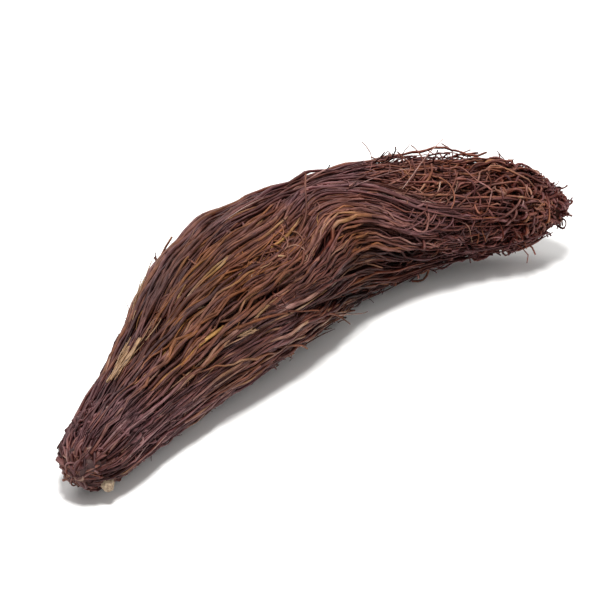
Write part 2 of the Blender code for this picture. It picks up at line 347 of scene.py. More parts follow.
def drawn(values, oneRootlet, *given):
    # one rootlet for each place that the values list, or for each number up to their count
    rng = random.Random(values["seed"])
    return [oneRootlet(rng, place, *given) for place in values.get("places") or range(values["count"])]


def rootlet(points, girth, taper, tint, angle, shares):
    # shares are the hank's shares at both ends: with the angle they say how warm the bark is there
    return {"points": points, "girth": girth, "taper": taper, "tint": tint, "angle": angle, "shares": shares}


def curled(points, fromPart, turn, axis):
    # turns the steps of a path more and more about an axis, towards its end
    start = int(len(points) * fromPart)
    bent = points[: start + 1]
    for index in range(start, len(points) - 1):
        share = (index + 1 - start) / (len(points) - start)
        step = Matrix.Rotation(turn * share * share, 3, axis) @ (points[index + 1] - points[index])
        bent.append(bent[-1] + step)
    return bent


def frizzed(points, fromPart, size, length, seed):
    # loose ends sway out of line, each its own way
    moved = []
    for index, point in enumerate(points):
        grow = eased(0, 1, (index / (len(points) - 1) - fromPart) / (1 - fromPart))
        moved.append(point + noise.noise_vector(point / length + seed) * (size * grow))
    return moved


rootlets = {
    "seed": 41,
    "step": 1.8 * mm,
    "perWisp": (2, 5),
    "radius": (0.18 * mm, 0.38 * mm),
    "thickShare": 0.10,
    "thickSize": 1.4,
    "wispSpread": 0.17,  # of the lock's half width
    "wander": 0.15,
    "ripple": 0.045,
    "weave": (0.35 * mm, 0.28 * mm),  # how far it dives under its neighbours, slowly and quickly
    "rootDepth": 0.9 * mm,
    "breakOff": 0.22,  # share of the wisps that end before the hank does
    "frizz": 1.5 * mm,
    "frizzLength": 4.5 * mm,
}


def newWisp(rng):
    # a few rootlets that run together
    whole = rng.random() > rootlets["breakOff"]
    reach = lockPlan["looseReach"]
    return {
        "side": rng.uniform(-1.05, 1.05),
        "layer": rng.random() ** 1.3 * 0.85,
        "waves": Waves(rng, rootlets["wander"], rootlets["ripple"]),
        "first": 0.0 if rng.random() < 0.65 else rng.uniform(0.05, 0.4),
        "late": rng.uniform(0.0, 0.3),
        "last": rng.uniform(0.84, 1.0) if whole else rng.uniform(0.40, 0.85),
        "short": rng.uniform(0.55, 1.0),
        "tuck": rng.uniform(*lockPlan["tuck"]),
        "loose": Vector((rng.uniform(-1, 1) * reach, rng.uniform(-1, 0.6) * reach)),
        "tilt": anyWay(rng) * 0.4,
        "turn": rng.uniform(-2.8, 2.8),
        "tint": rng.gauss(0, 0.07),
    }


def wispRootlet(lock, wisp, rng):
    own = Waves(rng, rootlets["wander"] * 0.5, rootlets["ripple"])
    rise = Waves(rng, *rootlets["weave"])
    offset = rng.gauss(0, 1) * rootlets["wispSpread"]
    tucked = lock["last"] < 0.8  # a lock that ends on the others
    first = wisp["late"] if lock["first"] > 0.2 else wisp["first"]
    first = held(first + rng.uniform(-0.03, 0.05), 0.0, 0.5)
    last = wisp["last"] * (wisp["short"] if tucked else 1.0)
    last = held(last + rng.uniform(-0.10, 0.05), first + 0.25, 1.01)
    layer = held(wisp["layer"] + rng.uniform(-0.13, 0.13))
    girth = between(*rootlets["radius"], rng.random() ** 1.2)
    if rng.random() < rootlets["thickShare"]:
        girth *= rootlets["thickSize"]
    span = (lock["last"] - lock["first"]) * (last - first)
    steps = stepsIn(hank["length"] * span, rootlets["step"], 8)
    freed = rng.uniform(-0.6, 0.7) * mm if last < 0.85 else 0.0
    if tucked:
        freed = -wisp["tuck"] * rng.uniform(0.6, 1.2)
    points = []
    for step in range(steps + 1):
        t = step / steps * (1.4 - 0.4 * step / steps)  # closer points towards the curly end
        part = between(first, last, t)
        gather = 1 - 0.6 * eased(0, 1, (t - 0.7) / 0.3)
        side = held(wisp["side"] + offset * gather + wisp["waves"].at(part) + own.at(part), -1.45, 1.45)
        crest = lockPlan["crest"] * math.sqrt(max(0.0, 1 - (side / 1.5) ** 2))
        out = crest * (1 - 1.5 * layer) + rise.at(part) - eased(rootlets["rootDepth"], 0, part / 0.03)
        if first > 0.04:  # starts out of sight under the others
            out -= eased(1.6 * mm, 0, t / 0.15)
        out += freed * eased(0, 1, (t - 0.6) / 0.4)
        loose = max(0.0, (part - lockPlan["looseFrom"]) / (1 - lockPlan["looseFrom"])) ** 2
        leftwards = across(lockShare(lock, part)) * (wisp["loose"].x * loose)
        points.append(lockPoint(lock, part, side, out) + leftwards + Vector((0, 0, wisp["loose"].y * loose)))
    # the tips curl sideways over the hank, not away from it
    outwards = points[-1] - middle(min(lockShare(lock, last), 1.0))
    axis = (outwards.normalized() + wisp["tilt"]).normalized()
    if last > 0.8:
        seed = anyNoise(rng)
        size = rootlets["frizz"] * rng.uniform(0.3, 1.3)
        points = frizzed(points, 0.66, size, rootlets["frizzLength"], seed)
        points = curled(points, 0.78, wisp["turn"] * rng.uniform(0.6, 1.4), axis)
    else:
        points = curled(points, 0.80, wisp["turn"] * rng.uniform(0.1, 0.6), axis)
    angle = lockAngle(lock, (first + last) / 2) + wisp["side"] * 0.3
    tint = held(rng.gauss(0.43, 0.24) + wisp["tint"])
    shares = (lockShare(lock, first), lockShare(lock, last))
    return rootlet(points, girth, (0.65, 1.0, 0.45), tint, angle, shares)


def lockRootlets(lock, number):
    rng = random.Random(rootlets["seed"] * 1000 + number)
    made = []
    while len(made) < lockPlan["rootlets"][lock["kind"]]:
        wisp = newWisp(rng)
        made += [wispRootlet(lock, wisp, rng) for _ in range(rng.randint(*rootlets["perWisp"]))]
    return made


under = {
    "seed": 61,
    "count": 320,
    "radius": (0.22 * mm, 0.42 * mm),
    "lift": (-0.1 * mm, 0.8 * mm),
    "endLift": 1.7 * mm,  # they lie looser towards the loose end
    "drift": 0.22,
    "sway": 0.05,
    "step": 2.6 * mm,
}


def underRootlet(rng, number):
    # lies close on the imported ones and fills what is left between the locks
    start = goldenAngle(number) + rng.uniform(-0.05, 0.05)
    first = rng.uniform(0.004, 0.05) if rng.random() < 0.5 else rng.uniform(0.05, 0.45)
    last = min(first + rng.uniform(0.4, 0.9), rng.uniform(0.88, 1.04))
    drift = rng.gauss(0, under["drift"])
    lift = rng.uniform(*under["lift"])
    puffed = rng.uniform(0.0, under["endLift"])
    waves = Waves(rng, under["sway"] * 1.5, under["sway"] * 0.4)
    rise = Waves(rng, 0.2 * mm, 0.12 * mm)
    points = []
    for t in spaced(stepsIn(hank["length"] * (last - first), under["step"], 8)):
        share = between(first, last, t)
        angle = flowed(share, start + drift * t + waves.at(share))
        sunk = eased(1.4 * mm, 0, t / 0.12)
        out = lift + puffed * eased(0, 1, (share - 0.6) / 0.2) + rise.at(share) - sunk
        points.append(onPacked(share, angle, out))
    if last > 0.85:
        points = frizzed(points, 0.7, rootlets["frizz"] * 0.7, rootlets["frizzLength"], anyNoise(rng))
    girth = rng.uniform(*under["radius"])
    tint = held(rng.gauss(0.30, 0.20))
    return rootlet(points, girth, (0.8, 1.0, 0.45), tint, start + drift / 2, (first, last))


strays = {"seed": 23, "count": 28, "radius": 0.5 * mm, "step": 1.6 * mm, "stand": 0.8}


def strayRootlet(rng, number, locks, own):
    # a single one that stands off, where the solid has it
    lock = locks[number % len(locks)]
    first = rng.uniform(0.10, 0.70)
    span = rng.uniform(0.18, 0.32)
    side = rng.uniform(-0.9, 0.9)
    drift = rng.uniform(-1.6, 1.6)
    rise = rng.uniform(2.5, 6.5) * mm * strays["stand"]
    ripple = Waves(own, 0.0, 0.25 * mm)
    points = []
    for part in spaced(stepsIn(hank["length"] * span, strays["step"], 8)):
        out = -0.6 * mm + rise * part**1.5 + ripple.at(part) * part
        points.append(lockPoint(lock, first + span * part, side + drift * part**2, out))
    points = frizzed(points, 0.2, 1.2 * mm, 8 * mm, anyNoise(own))
    points = curled(points, 0.6, own.uniform(-1.2, 1.2), anyWay(own))
    girth = strays["radius"] * own.uniform(0.6, 0.9)
    shares = (lockShare(lock, first), lockShare(lock, first + span))
    return rootlet(points, girth, (1.2, 1.0, 0.5), own.uniform(0.2, 0.85), lockAngle(lock, first), shares)


hooks = {
    "seed": 37,
    "count": 22,
    "shares": (0.76, 0.93),
    "depth": 0.5,
    "radius": 0.42 * mm,
    "length": 13.3 * mm,
    "sunk": 3.8 * mm,
    "lean": (0.5, 1.0),
    "twist": 1.2,
    "turn": 0.21 / mm,
    "steps": 28,
}


def hookRootlet(rng, number, own):
    # a tip that curls over round the loose end, where the solid has it
    step = hooks["length"] / hooks["steps"]
    share = rng.uniform(*hooks["shares"])
    angle = goldenAngle(number)
    place = inHank(share, angle, hooks["depth"])
    outward = (place - middle(share)).normalized()
    along = course(share - 0.02, share)
    heading = (outward * rng.uniform(*hooks["lean"]) + along).normalized()
    axis = (outward.cross(along) + outward * rng.uniform(-hooks["twist"], hooks["twist"])).normalized()
    turn = Matrix.Rotation(hooks["turn"] * step * rng.uniform(0.8, 1.3), 3, axis)
    points = [place]
    for index in range(hooks["steps"]):
        place = place + heading * step
        if index * step >= hooks["sunk"]:
            heading = turn @ heading
        points.append(place)
    return rootlet(points, hooks["radius"], (1.0, 1.0, 0.6), own.uniform(0.2, 0.7), angle, (share, share))


hairs = {
    "seed": 77,
    "count": 260,
    "radius": (0.08 * mm, 0.15 * mm),
    "length": (5 * mm, 14 * mm),
    "step": 1.2 * mm,
}


def hairRootlet(rng, _, locks):
    # a fine side root, which crosses the others and stands up a little
    lock = locks[rng.randrange(len(locks))]
    part = rng.uniform(0.04, 0.90)
    side = rng.uniform(-1.2, 1.2)
    drift = rng.gauss(0, 0.8)
    length = rng.uniform(*hairs["length"])
    reach = length / hank["length"]
    rise = rng.uniform(0.0, 1.0) * mm
    wave = Waves(rng, 0.0, 0.05)
    points = []
    for t in spaced(stepsIn(length, hairs["step"], 5)):
        out = lockPlan["crest"] * 0.8 + rise * t * t - 0.4 * mm
        points.append(lockPoint(lock, part + reach * t, side + drift * t + wave.at(t * 0.4), out))
    points = curled(points, 0.2, rng.uniform(-1.6, 1.6), anyWay(rng))
    shares = (lockShare(lock, part), lockShare(lock, part + reach))
    girth = rng.uniform(*hairs["radius"])
    return rootlet(points, girth, (1.2, 1.0, 0.5), rng.uniform(0.2, 0.95), lockAngle(lock, part), shares)


tangle = {
    "seed": 88,
    "count": 1000,
    "radius": (0.17 * mm, 0.36 * mm),
    "length": (5 * mm, 12 * mm),
    "step": 0.7 * mm,
    "shares": (0.78, 1.0),
    "faceShare": 0.36,  # of them start on the blunt end itself
    "depth": (0.90, 1.06),
    "bend": (0.12 / mm, 0.75 / mm),  # how sharply it curls, in radians for each millimetre
    "turning": 0.40,
    "pull": 0.25,
    "highest": 1.6 * mm,
}


def tangledRootlet(rng, _):
    # a curly end, which winds about the others where the hank comes loose
    first = between(*tangle["shares"], rng.random() ** 0.8)
    depth = rng.uniform(*tangle["depth"])
    onFace = rng.random() < tangle["faceShare"]
    if onFace:
        first = between(*hank["endDome"], math.sqrt(1 - 0.98 * rng.random()))
    angle = rng.uniform(0, 2 * math.pi)
    point = inHank(first, angle, depth * packedSize(first))
    along = course(first, first + 0.02)
    heading = (along * (0.4 if onFace else 1.0) + anyWay(rng) * 0.9).normalized()
    axis = anyWay(rng)
    length = rng.uniform(*tangle["length"])
    bend = rng.uniform(*tangle["bend"]) * tangle["step"]
    points = [point]
    for _ in range(round(length / tangle["step"])):
        share = (point.x - hank["start"][0]) / hank["length"]
        homeShare = min(share + 0.04, 1.03)
        home = inHank(homeShare, angle, depth * packedSize(homeShare))
        axis = (axis + anyWay(rng) * tangle["turning"]).normalized()
        heading = Matrix.Rotation(bend, 3, axis) @ heading
        height, outward = aboveHank(point, share)
        homeward = (home - point).normalized()
        if onFace:  # keeps to the blunt end, neither off it nor into it
            homeward = outward * (-1.0 if height > tangle["highest"] * 0.6 else 1.0 if height < 0 else 0.0)
        pull = tangle["pull"] * (4 if height > tangle["highest"] else 1)
        heading = (heading + homeward * pull).normalized()
        point = point + heading * tangle["step"]
        points.append(point)
    tint = held(rng.gauss(0.52, 0.27))
    girth = rng.uniform(*tangle["radius"])
    return rootlet(points, girth, (1.0, 1.0, 0.6), tint, angle, (first, min(first + 0.08, 1.05)))


brokenEnds = {
    "seed": 71,
    "count": 260,
    "radius": (0.17 * mm, 0.36 * mm),
    "length": (4 * mm, 7 * mm),
    "past": (-0.8 * mm, 1.0 * mm),  # how far they stand out of the blunt end
    "longShare": 0.2,
    "longer": 2.4 * mm,
    "splay": 0.45,
    "turn": 3.6,
    "steps": 9,
}


def brokenEnd(rng, number):
    # the end of a packed rootlet: these come out of the blunt end all over
    ring = math.sqrt((number + 0.5) / brokenEnds["count"])
    share = between(*hank["endDome"], math.sqrt(1 - ring * ring))
    angle = goldenAngle(number)
    face = onPacked(share, angle)
    outward = aboveHank(face, share)[1]
    heading = course(1.0, 1.05) + outward * rng.uniform(0, brokenEnds["splay"]) + anyWay(rng) * 0.25
    length = rng.uniform(*brokenEnds["length"])
    past = rng.uniform(*brokenEnds["past"])
    if rng.random() < brokenEnds["longShare"]:
        past += rng.random() * brokenEnds["longer"]
    points = [face + heading.normalized() * (past - length * (1 - t)) for t in spaced(brokenEnds["steps"])]
    points = frizzed(points, 0.2, rootlets["frizz"], rootlets["frizzLength"], anyNoise(rng))
    points = curled(points, 0.3, rng.uniform(1.0, brokenEnds["turn"]), anyWay(rng))
    tint = held(rng.gauss(0.45, 0.25))
    return rootlet(points, rng.uniform(*brokenEnds["radius"]), (1.0, 1.0, 0.7), tint, angle, (share, 1.05))


crossings = {
    "seed": 19,
    "radius": (0.15 * mm, 0.32 * mm),
    "length": (4 * mm, 12 * mm),
    "step": 0.9 * mm,
    "lift": (0.7 * mm, 2.0 * mm),
    "patches": (  # share and angle of the middle, reach along and across, how many
        (0.43, 118, 12 * mm, 7 * mm, 170),
        (0.36, 100, 8 * mm, 5 * mm, 40),
        (0.70, 84, 9 * mm, 5 * mm, 24),
        (0.22, 150, 8 * mm, 5 * mm, 26),
        (0.60, 60, 12 * mm, 8 * mm, 40),
        (0.34, 20, 10 * mm, 7 * mm, 40),
        (0.55, 340, 12 * mm, 7 * mm, 40),
        (0.30, 290, 9 * mm, 5 * mm, 24),
    ),
}


def crossingRootlet(rng, middleShare, degrees, along, sideways):
    # a short one that lies across the others where the hank has been rubbed into a mat
    share = middleShare + rng.gauss(0, 0.5) * along / hank["length"]
    angle = math.radians(degrees) + rng.gauss(0, 0.5) * sideways / meanRadius(middleShare)
    heading = rng.choice((0, math.pi)) + rng.gauss(0, 0.65)
    bend = rng.gauss(0, 0.10)
    lift = rng.uniform(*crossings["lift"])
    length = rng.uniform(*crossings["length"])
    points = []
    tip = share
    for t in spaced(stepsIn(length, crossings["step"], 5)):
        points.append(onPacked(tip, angle, lift * (1 - 0.9 * (2 * t - 1) ** 4)))
        around = meanRadius(tip)
        tip += math.cos(heading) * crossings["step"] / hank["length"]
        angle += math.sin(heading) * crossings["step"] / around
        bend += rng.gauss(0, 0.08)
        heading += bend
    tint = held(rng.gauss(0.55, 0.20))
    return rootlet(points, rng.uniform(*crossings["radius"]), (0.8, 1.0, 0.6), tint, angle, (share, tip))


def crossingRootlets():
    rng = random.Random(crossings["seed"])
    return [crossingRootlet(rng, *patch[:4]) for patch in crossings["patches"] for _ in range(patch[4])]


paleFibres = {
    "seed": 9,
    "radius": (0.09 * mm, 0.13 * mm),
    "places": (  # share and angle of its foot, length, how far it leans out and how far it turns across
        (0.70, 96, 17 * mm, 0.14, -0.2),
        (0.33, 150, 14 * mm, 0.10, 0.5),
        (0.52, 190, 18 * mm, 0.12, -0.4),
        (0.24, 118, 12 * mm, 0.08, 0.35),
        (0.80, 120, 16 * mm, 0.30, 0.6),
        (0.44, 60, 18 * mm, 0.10, -0.5),
        (0.62, 20, 16 * mm, 0.25, 0.4),
        (0.36, 215, 14 * mm, 0.12, 0.3),
    ),
}


def paleFibre(rng, place):
    # a straight straw-coloured fibre: the core of a rootlet that has lost its bark
    share, degrees, length, lean, turn = place
    angle = math.radians(degrees)
    foot = onPacked(share, angle, 0.6 * mm)
    outwards = (inHank(share, angle, 1.0, 2 * mm) - inHank(share, angle, 1.0)).normalized()
    along = course(share, share + 0.02)
    heading = (along + outwards * lean + outwards.cross(along) * turn).normalized()
    points = []
    for step in range(13):
        crown = 1.1 * mm * (1 - (step / 6 - 1) ** 2)
        points.append(foot + heading * (length * step / 12) + outwards * crown)
    points = frizzed(points, 0.0, 0.7 * mm, 9 * mm, anyNoise(rng))
    return rootlet(points, rng.uniform(*paleFibres["radius"]), (1.0, 1.0, 0.7), 1.0, angle, (share, share))


def onTheWay(place, t):
    # share and angle between the two ends that a place starts with, whose angles are in degrees
    first, firstAngle, last, lastAngle = place[:4]
    return between(first, last, t), math.radians(between(firstAngle, lastAngle, t))


lightRootlets = {
    "seed": 14,
    "step": 1.8 * mm,
    "size": 0.85,
    "places": (  # share and angle at both ends, radius and how high it lies
        (0.20, 138, 0.52, 222, 0.30 * mm, 2.4 * mm),
        (0.14, 176, 0.33, 220, 0.28 * mm, 2.0 * mm),
        (0.53, 146, 0.66, 132, 0.22 * mm, 2.6 * mm),
        (0.56, 158, 0.69, 146, 0.20 * mm, 2.4 * mm),
        (0.725, 114, 0.775, 150, 0.28 * mm, 2.8 * mm),
        (0.88, 70, 0.99, 76, 0.28 * mm, 1.6 * mm),
        (0.955, 84, 1.02, 112, 0.30 * mm, 2.0 * mm),
        (0.40, 62, 0.60, 78, 0.28 * mm, 2.4 * mm),
        (0.10, 96, 0.26, 112, 0.26 * mm, 2.0 * mm),
        (0.30, 330, 0.55, 300, 0.28 * mm, 1.8 * mm),
        (0.45, 20, 0.70, 36, 0.30 * mm, 2.2 * mm),
    ),
}


def lightRootlet(rng, place):
    # a single paler one, on top of the others: its pale bark is partly a painted highlight
    first, firstAngle, last, lastAngle, girth, lift = place
    sway = Waves(rng, 0.05, 0.02)
    points = []
    for t in spaced(stepsIn(hank["length"] * (last - first), lightRootlets["step"], 6)):
        share, angle = onTheWay(place, t)
        points.append(onPacked(share, angle + sway.at(t), lift * (1 - (2 * t - 1) ** 6)))
    angle = math.radians((firstAngle + lastAngle) / 2)
    girth *= lightRootlets["size"]
    return rootlet(points, girth, (0.7, 1.0, 0.7), rng.uniform(0.66, 0.88), angle, (first, last))


partings = {
    "halfWidth": 0.6 * mm,
    "push": 0.4 * mm,
    "dip": 1.1 * mm,
    "darker": 3.6 * mm,  # the painted shade in them is as dark as if they lay this much deeper
    "steps": 16,
    "places": (  # share and angle at both ends
        (0.305, 127, 0.470, 146),
        (0.445, 170, 0.700, 203),
        (0.540, 142, 0.650, 128),
        (0.720, 168, 0.930, 205),
        (0.190, 70, 0.330, 84),
        (0.250, 25, 0.450, 12),
        (0.420, 300, 0.620, 320),
    ),
}


def partingLine(place):
    line = [onPacked(*onTheWay(place, t), 1.2 * mm) for t in spaced(partings["steps"])]
    return line, (line[0] - line[-1]).length / 2 + 4 * mm


partingLines = [partingLine(place) for place in partings["places"]]


def parted(point, outward, side):
    # the rootlets dip into a furrow where two locks have dried apart, and painted shade lies there
    darker = 0.0
    for line, reach in partingLines:
        if (point - line[len(line) // 2]).length > reach:
            continue
        at = min(range(len(line)), key=lambda index: (point - line[index]).length_squared)
        along = line[min(at + 1, len(line) - 1)] - line[max(at - 1, 0)]
        aside = outward.cross(along).normalized()
        offset = (point - line[at]).dot(aside)
        width = partings["halfWidth"] * math.sqrt(math.sin(math.pi * at / (len(line) - 1)))
        if width > 0 and abs(offset) < 3 * width:
            near = math.exp(-((offset / width) ** 2) / 2)
            way = math.copysign(1.0, offset) if abs(offset) > 0.1 * mm else side
            point = point + aside * (way * partings["push"] * near) - outward * (partings["dip"] * near)
            darker = max(darker, partings["darker"] * near)
    return point, darker


def warmthAt(share, angle):
    # golden on the upper flank and in the arch, less so on the crown, purple underneath and at the rhizome
    turn = math.degrees(angle) % 360
    flank = bump(share, 0.34, 0.19) * bump(turn, 112, 58)
    arch = bump(share, 0.62, 0.10) * bump(turn, 148, 40)
    crown = bump(share, 0.93, 0.15) * bump(turn, 88, 50)
    return min(1.0, 0.22 * eased(0, 1, (share - 0.04) / 0.2) + 0.68 * flank + 0.38 * arch + 0.44 * crown)


def paintedLightAt(share, angle):
    # painted light and shade by region: lighter round the blunt tip, on the crown and towards the loose end,
    # dimmer in a patch high on the outer flank and in one on the inner flank
    turn = math.degrees(angle) % 360
    crown = bump(share, 0.72, 0.22) * bump(turn, 92, 55)
    flank = bump(share, 0.28, 0.20) * bump(turn, 75, 50)
    under = bump(share, 0.60, 0.11) * bump(turn, 165, 38)
    rubbed = 0.30 * eased(0, 1, (share - 0.62) / 0.3) + 0.10 * bump(share, 0, 0.045) + 0.36 * crown
    return 1.0 + rubbed - 0.22 * flank - 0.24 * under


openTip = {"higher": 1.4, "share": 0.05}  # painted light: the blunt tip gets less painted shade, as if it lay this many mm higher


def newObject(name, data):
    made = bpy.data.objects.new(name, data)
    bpy.context.scene.collection.objects.link(made)
    return made


def polylineObject(name, strands):
    # one edge chain for each rootlet, with its thickness and colour values on its points
    points, edges, ways = [], [], []
    values = {"girth": [], "tint": [], "warmth": [], "wear": [], "reach": [], "height": []}
    for number, strand in enumerate(strands):
        way = 1.0 if number % 2 else -1.0
        for index, point in enumerate(strand["points"]):
            t = index / (len(strand["points"]) - 1)
            share = between(*strand["shares"], t)
            if index:
                edges.append((len(points) - 1, len(points)))
            height, outward = aboveHank(point, share)
            point, darker = parted(point, outward, way)
            points.append(point)
            values["girth"].append(strand["girth"] * max(through(strand["taper"], t), 0.12))
            values["tint"].append(strand["tint"])
            values["warmth"].append(warmthAt(share, strand["angle"]))
            values["wear"].append(paintedLightAt(share, strand["angle"]))
            values["reach"].append(share)
            # painted light round the blunt tip, which lifts its painted shade
            tipLight = openTip["higher"] * bump(share, 0, openTip["share"])
            # the painted shade of the furrows lowers the height that the bark shades by
            values["height"].append((height - darker) / mm + tipLight)
            # there is no painted shade in the creases round those that stand off
            ways.extend(outward * eased(1.0, 0.0, (height - 3 * mm) / (3 * mm)))
    data = bpy.data.meshes.new(name)
    data.from_pydata(points, edges, [])
    for key, numbers in values.items():
        data.attributes.new(key, "FLOAT", "POINT").data.foreach_set("value", numbers)
    data.attributes.new("outward", "FLOAT_VECTOR", "POINT").data.foreach_set("vector", ways)
    return newObject(name, data)


# Node trees

def setInputs(node, values):
    # values are in the order of the inputs or go by their names, and each is a setting or the socket to link
    for key, value in values.items() if isinstance(values, dict) else enumerate(values):
        if isinstance(value, bpy.types.NodeSocket):
            node.id_data.links.new(value, node.inputs[key])
        else:
            node.inputs[key].default_value = value


def addNode(tree, kind, inputs=(), out=0, **settings):
    # gives the output that the next node needs, or all of them for None; a shader node goes by its short name
    node = tree.nodes.new(kind if "Node" in kind else "ShaderNode" + kind)
    for key, value in settings.items():
        setattr(node, key, value)
    setInputs(node, inputs)
    return node.outputs if out is None else node.outputs[out]


ownNoise = 517.0  # times its tint, it takes each rootlet to noise of its own


def makeRootletTree():
    tree = bpy.data.node_groups.new("sweep rootlets", "GeometryNodeTree")
    add = partial(addNode, tree)
    sockets = {
        "Geometry": "Geometry",
        "Sides": "Int",
        "Kink": "Float",
        "Kink Length": "Float",
        "Lumps": "Float",
        "Wrinkle Depth": "Float",
        "Material": "Material",
    }
    for name, kind in sockets.items():
        tree.interface.new_socket(name, in_out="INPUT", socket_type="NodeSocket" + kind)
    tree.interface.new_socket("Geometry", in_out="OUTPUT", socket_type="NodeSocketGeometry")
    given = add("NodeGroupInput", out=None)
    curve = add("GeometryNodeMeshToCurve", {"Mesh": given["Geometry"]})

    tint = add("GeometryNodeInputNamedAttribute", {"Name": "tint"}, data_type="FLOAT")
    own = add("Math", (tint, ownNoise), operation="MULTIPLY")
    place = add("GeometryNodeInputPosition")
    fine = add("Math", (1.0, given["Kink Length"]), operation="DIVIDE")
    kinks = add(
        "TexNoise",
        {"Vector": place, "W": own, "Scale": fine, "Detail": 2.0, "Roughness": 0.6},
        out=None,
        noise_dimensions="4D",
    )
    centred = add("VectorMath", (kinks["Color"], (0.5, 0.5, 0.5)), operation="SUBTRACT")
    moved = add("VectorMath", {0: centred, "Scale": given["Kink"]}, operation="SCALE")

    girth = add("GeometryNodeInputNamedAttribute", {"Name": "girth"}, data_type="FLOAT")
    lump = add("MapRange", (kinks["Fac"], 0.3, 0.7, -1.0))
    swing = add("Math", (lump, given["Lumps"], 1.0), operation="MULTIPLY_ADD")
    radius = add("Math", (girth, swing), operation="MULTIPLY")

    # kinked, then pressed flat where it would go under the surface that the clump lies on
    kinked = add("VectorMath", (place, moved), operation="ADD")
    parts = add("SeparateXYZ", (kinked,), out=None)
    height = add("Math", (parts["Z"], radius), operation="MAXIMUM")
    settled = add("CombineXYZ", (parts["X"], parts["Y"], height))

    curveMarks = tree.nodes.new("GeometryNodeCaptureAttribute")
    for kind, name in (("FLOAT", "Along"), ("FLOAT", "Radius"), ("VECTOR", "Place")):
        curveMarks.capture_items.new(kind, name)
    along = add("GeometryNodeSplineParameter", out="Length")
    setInputs(curveMarks, {"Geometry": curve, "Along": along, "Radius": radius, "Place": settled})
    marks = curveMarks.outputs
    curve = add("GeometryNodeSetPosition", {"Geometry": marks["Geometry"], "Position": marks["Place"]})

    ring = add("GeometryNodeCurvePrimitiveCircle", {"Resolution": given["Sides"], "Radius": 1.0})
    ringMarks = tree.nodes.new("GeometryNodeCaptureAttribute")
    ringMarks.capture_items.new("FLOAT", "Turn")
    setInputs(ringMarks, {"Geometry": ring, "Turn": add("GeometryNodeSplineParameter", out="Factor")})
    profile = ringMarks.outputs["Geometry"]
    skin = add(
        "GeometryNodeCurveToMesh",
        {"Curve": curve, "Profile Curve": profile, "Scale": marks["Radius"], "Fill Caps": True},
    )

    # grain: once round the rootlet in X and Y, along it in Z, for patterns that follow its skin
    angle = add("Math", (ringMarks.outputs["Turn"], 2 * math.pi), operation="MULTIPLY")
    cosine = add("Math", (angle,), operation="COSINE")
    sine = add("Math", (angle,), operation="SINE")
    along = add("Math", (marks["Along"], 1 / mm), operation="MULTIPLY")
    grain = add("CombineXYZ", (cosine, sine, along))
    skin = add(
        "GeometryNodeStoreNamedAttribute",
        {"Geometry": skin, "Name": "grain", "Value": grain},
        data_type="FLOAT_VECTOR",
        domain="POINT",
    )

    # lengthwise wrinkles, as deep as a share of the rootlet's own radius
    stretched = add("VectorMath", (grain, (1.9, 1.9, 0.22)), operation="MULTIPLY")
    wrinkles = add(
        "TexNoise", {"Vector": stretched, "W": own, "Scale": 1.0, "Detail": 2.0}, noise_dimensions="4D"
    )
    relief = add("Math", (wrinkles, -0.5), operation="ADD")
    depth = add("Math", (marks["Radius"], given["Wrinkle Depth"]), operation="MULTIPLY")
    push = add("Math", (relief, depth), operation="MULTIPLY")
    normal = add("GeometryNodeInputNormal")
    offset = add("VectorMath", {0: normal, "Scale": push}, operation="SCALE")
    skin = add("GeometryNodeSetPosition", {"Geometry": skin, "Offset": offset})

    # facing: 1 on the side that looks out of the hank, less in the creases between rootlets; the bark paints
    # shade and a highlight by it
    outward = add("GeometryNodeInputNamedAttribute", {"Name": "outward"}, data_type="FLOAT_VECTOR")
    toward = add("VectorMath", (normal, outward), out="Value", operation="DOT_PRODUCT")
    length = add("VectorMath", (outward,), out="Value", operation="LENGTH")
    free = add("Math", (1.0, length), operation="SUBTRACT")
    facing = add("Math", (toward, free), operation="ADD")
    skin = add(
        "GeometryNodeStoreNamedAttribute",
        {"Geometry": skin, "Name": "facing", "Value": facing},
        data_type="FLOAT",
        domain="POINT",
    )

    skin = add("GeometryNodeSetShadeSmooth", {"Geometry": skin})
    skin = add("GeometryNodeRealizeInstances", {"Geometry": skin})
    skin = add("GeometryNodeSetMaterial", {"Geometry": skin, "Material": given["Material"]})
    add("NodeGroupOutput", (skin,), out=None)
    return tree


sweepTree = makeRootletTree()


def triangles(data):
    return sum(len(face.vertices) - 2 for face in data.polygons)


def swept(name, strands, material, sides=5, kink=0.55, kinkLength=4.0, lumps=0.36, wrinkles=0.0):
    piece = polylineObject(name, strands)
    sweep = piece.modifiers.new("sweep", "NODES")
    sweep.node_group = sweepTree
    given = {
        "Sides": sides,
        "Kink": kink * mm,
        "Kink Length": kinkLength * mm,
        "Lumps": lumps,
        "Wrinkle Depth": wrinkles,
        "Material": material,
    }
    for item in sweepTree.interface.items_tree:
        if item.in_out == "INPUT" and item.name in given:
            sweep[item.identifier] = given[item.name]
    bpy.context.view_layer.update()
    graph = bpy.context.evaluated_depsgraph_get()
    skin = bpy.data.meshes.new_from_object(piece.evaluated_get(graph))
    piece.modifiers.clear()
    piece.data = skin
    skin.name = name
    print(name, len(strands), "rootlets,", triangles(skin), "triangles")
    return piece


# Materials

def linear(code):
    # an sRGB hex colour, made linear
    parts = [int(code[start : start + 2], 16) / 255 for start in (1, 3, 5)]
    made = [part / 12.92 if part <= 0.04045 else ((part + 0.055) / 1.055) ** 2.4 for part in parts]
    return (*made, 1.0)


def newMaterial(name):
    material = bpy.data.materials.new(name)
    material.use_nodes = True
    tree = material.node_tree
    return material, tree.nodes["Principled BSDF"], partial(addNode, tree)


def addRamp(add, factor, stops):
    color = add("ValToRGB", {"Fac": factor})
    elements = color.node.color_ramp.elements
    while len(elements) < len(stops):
        elements.new(0.5)
    for element, (place, code) in zip(elements, stops):
        element.position = place
        element.color = linear(code)
    return color


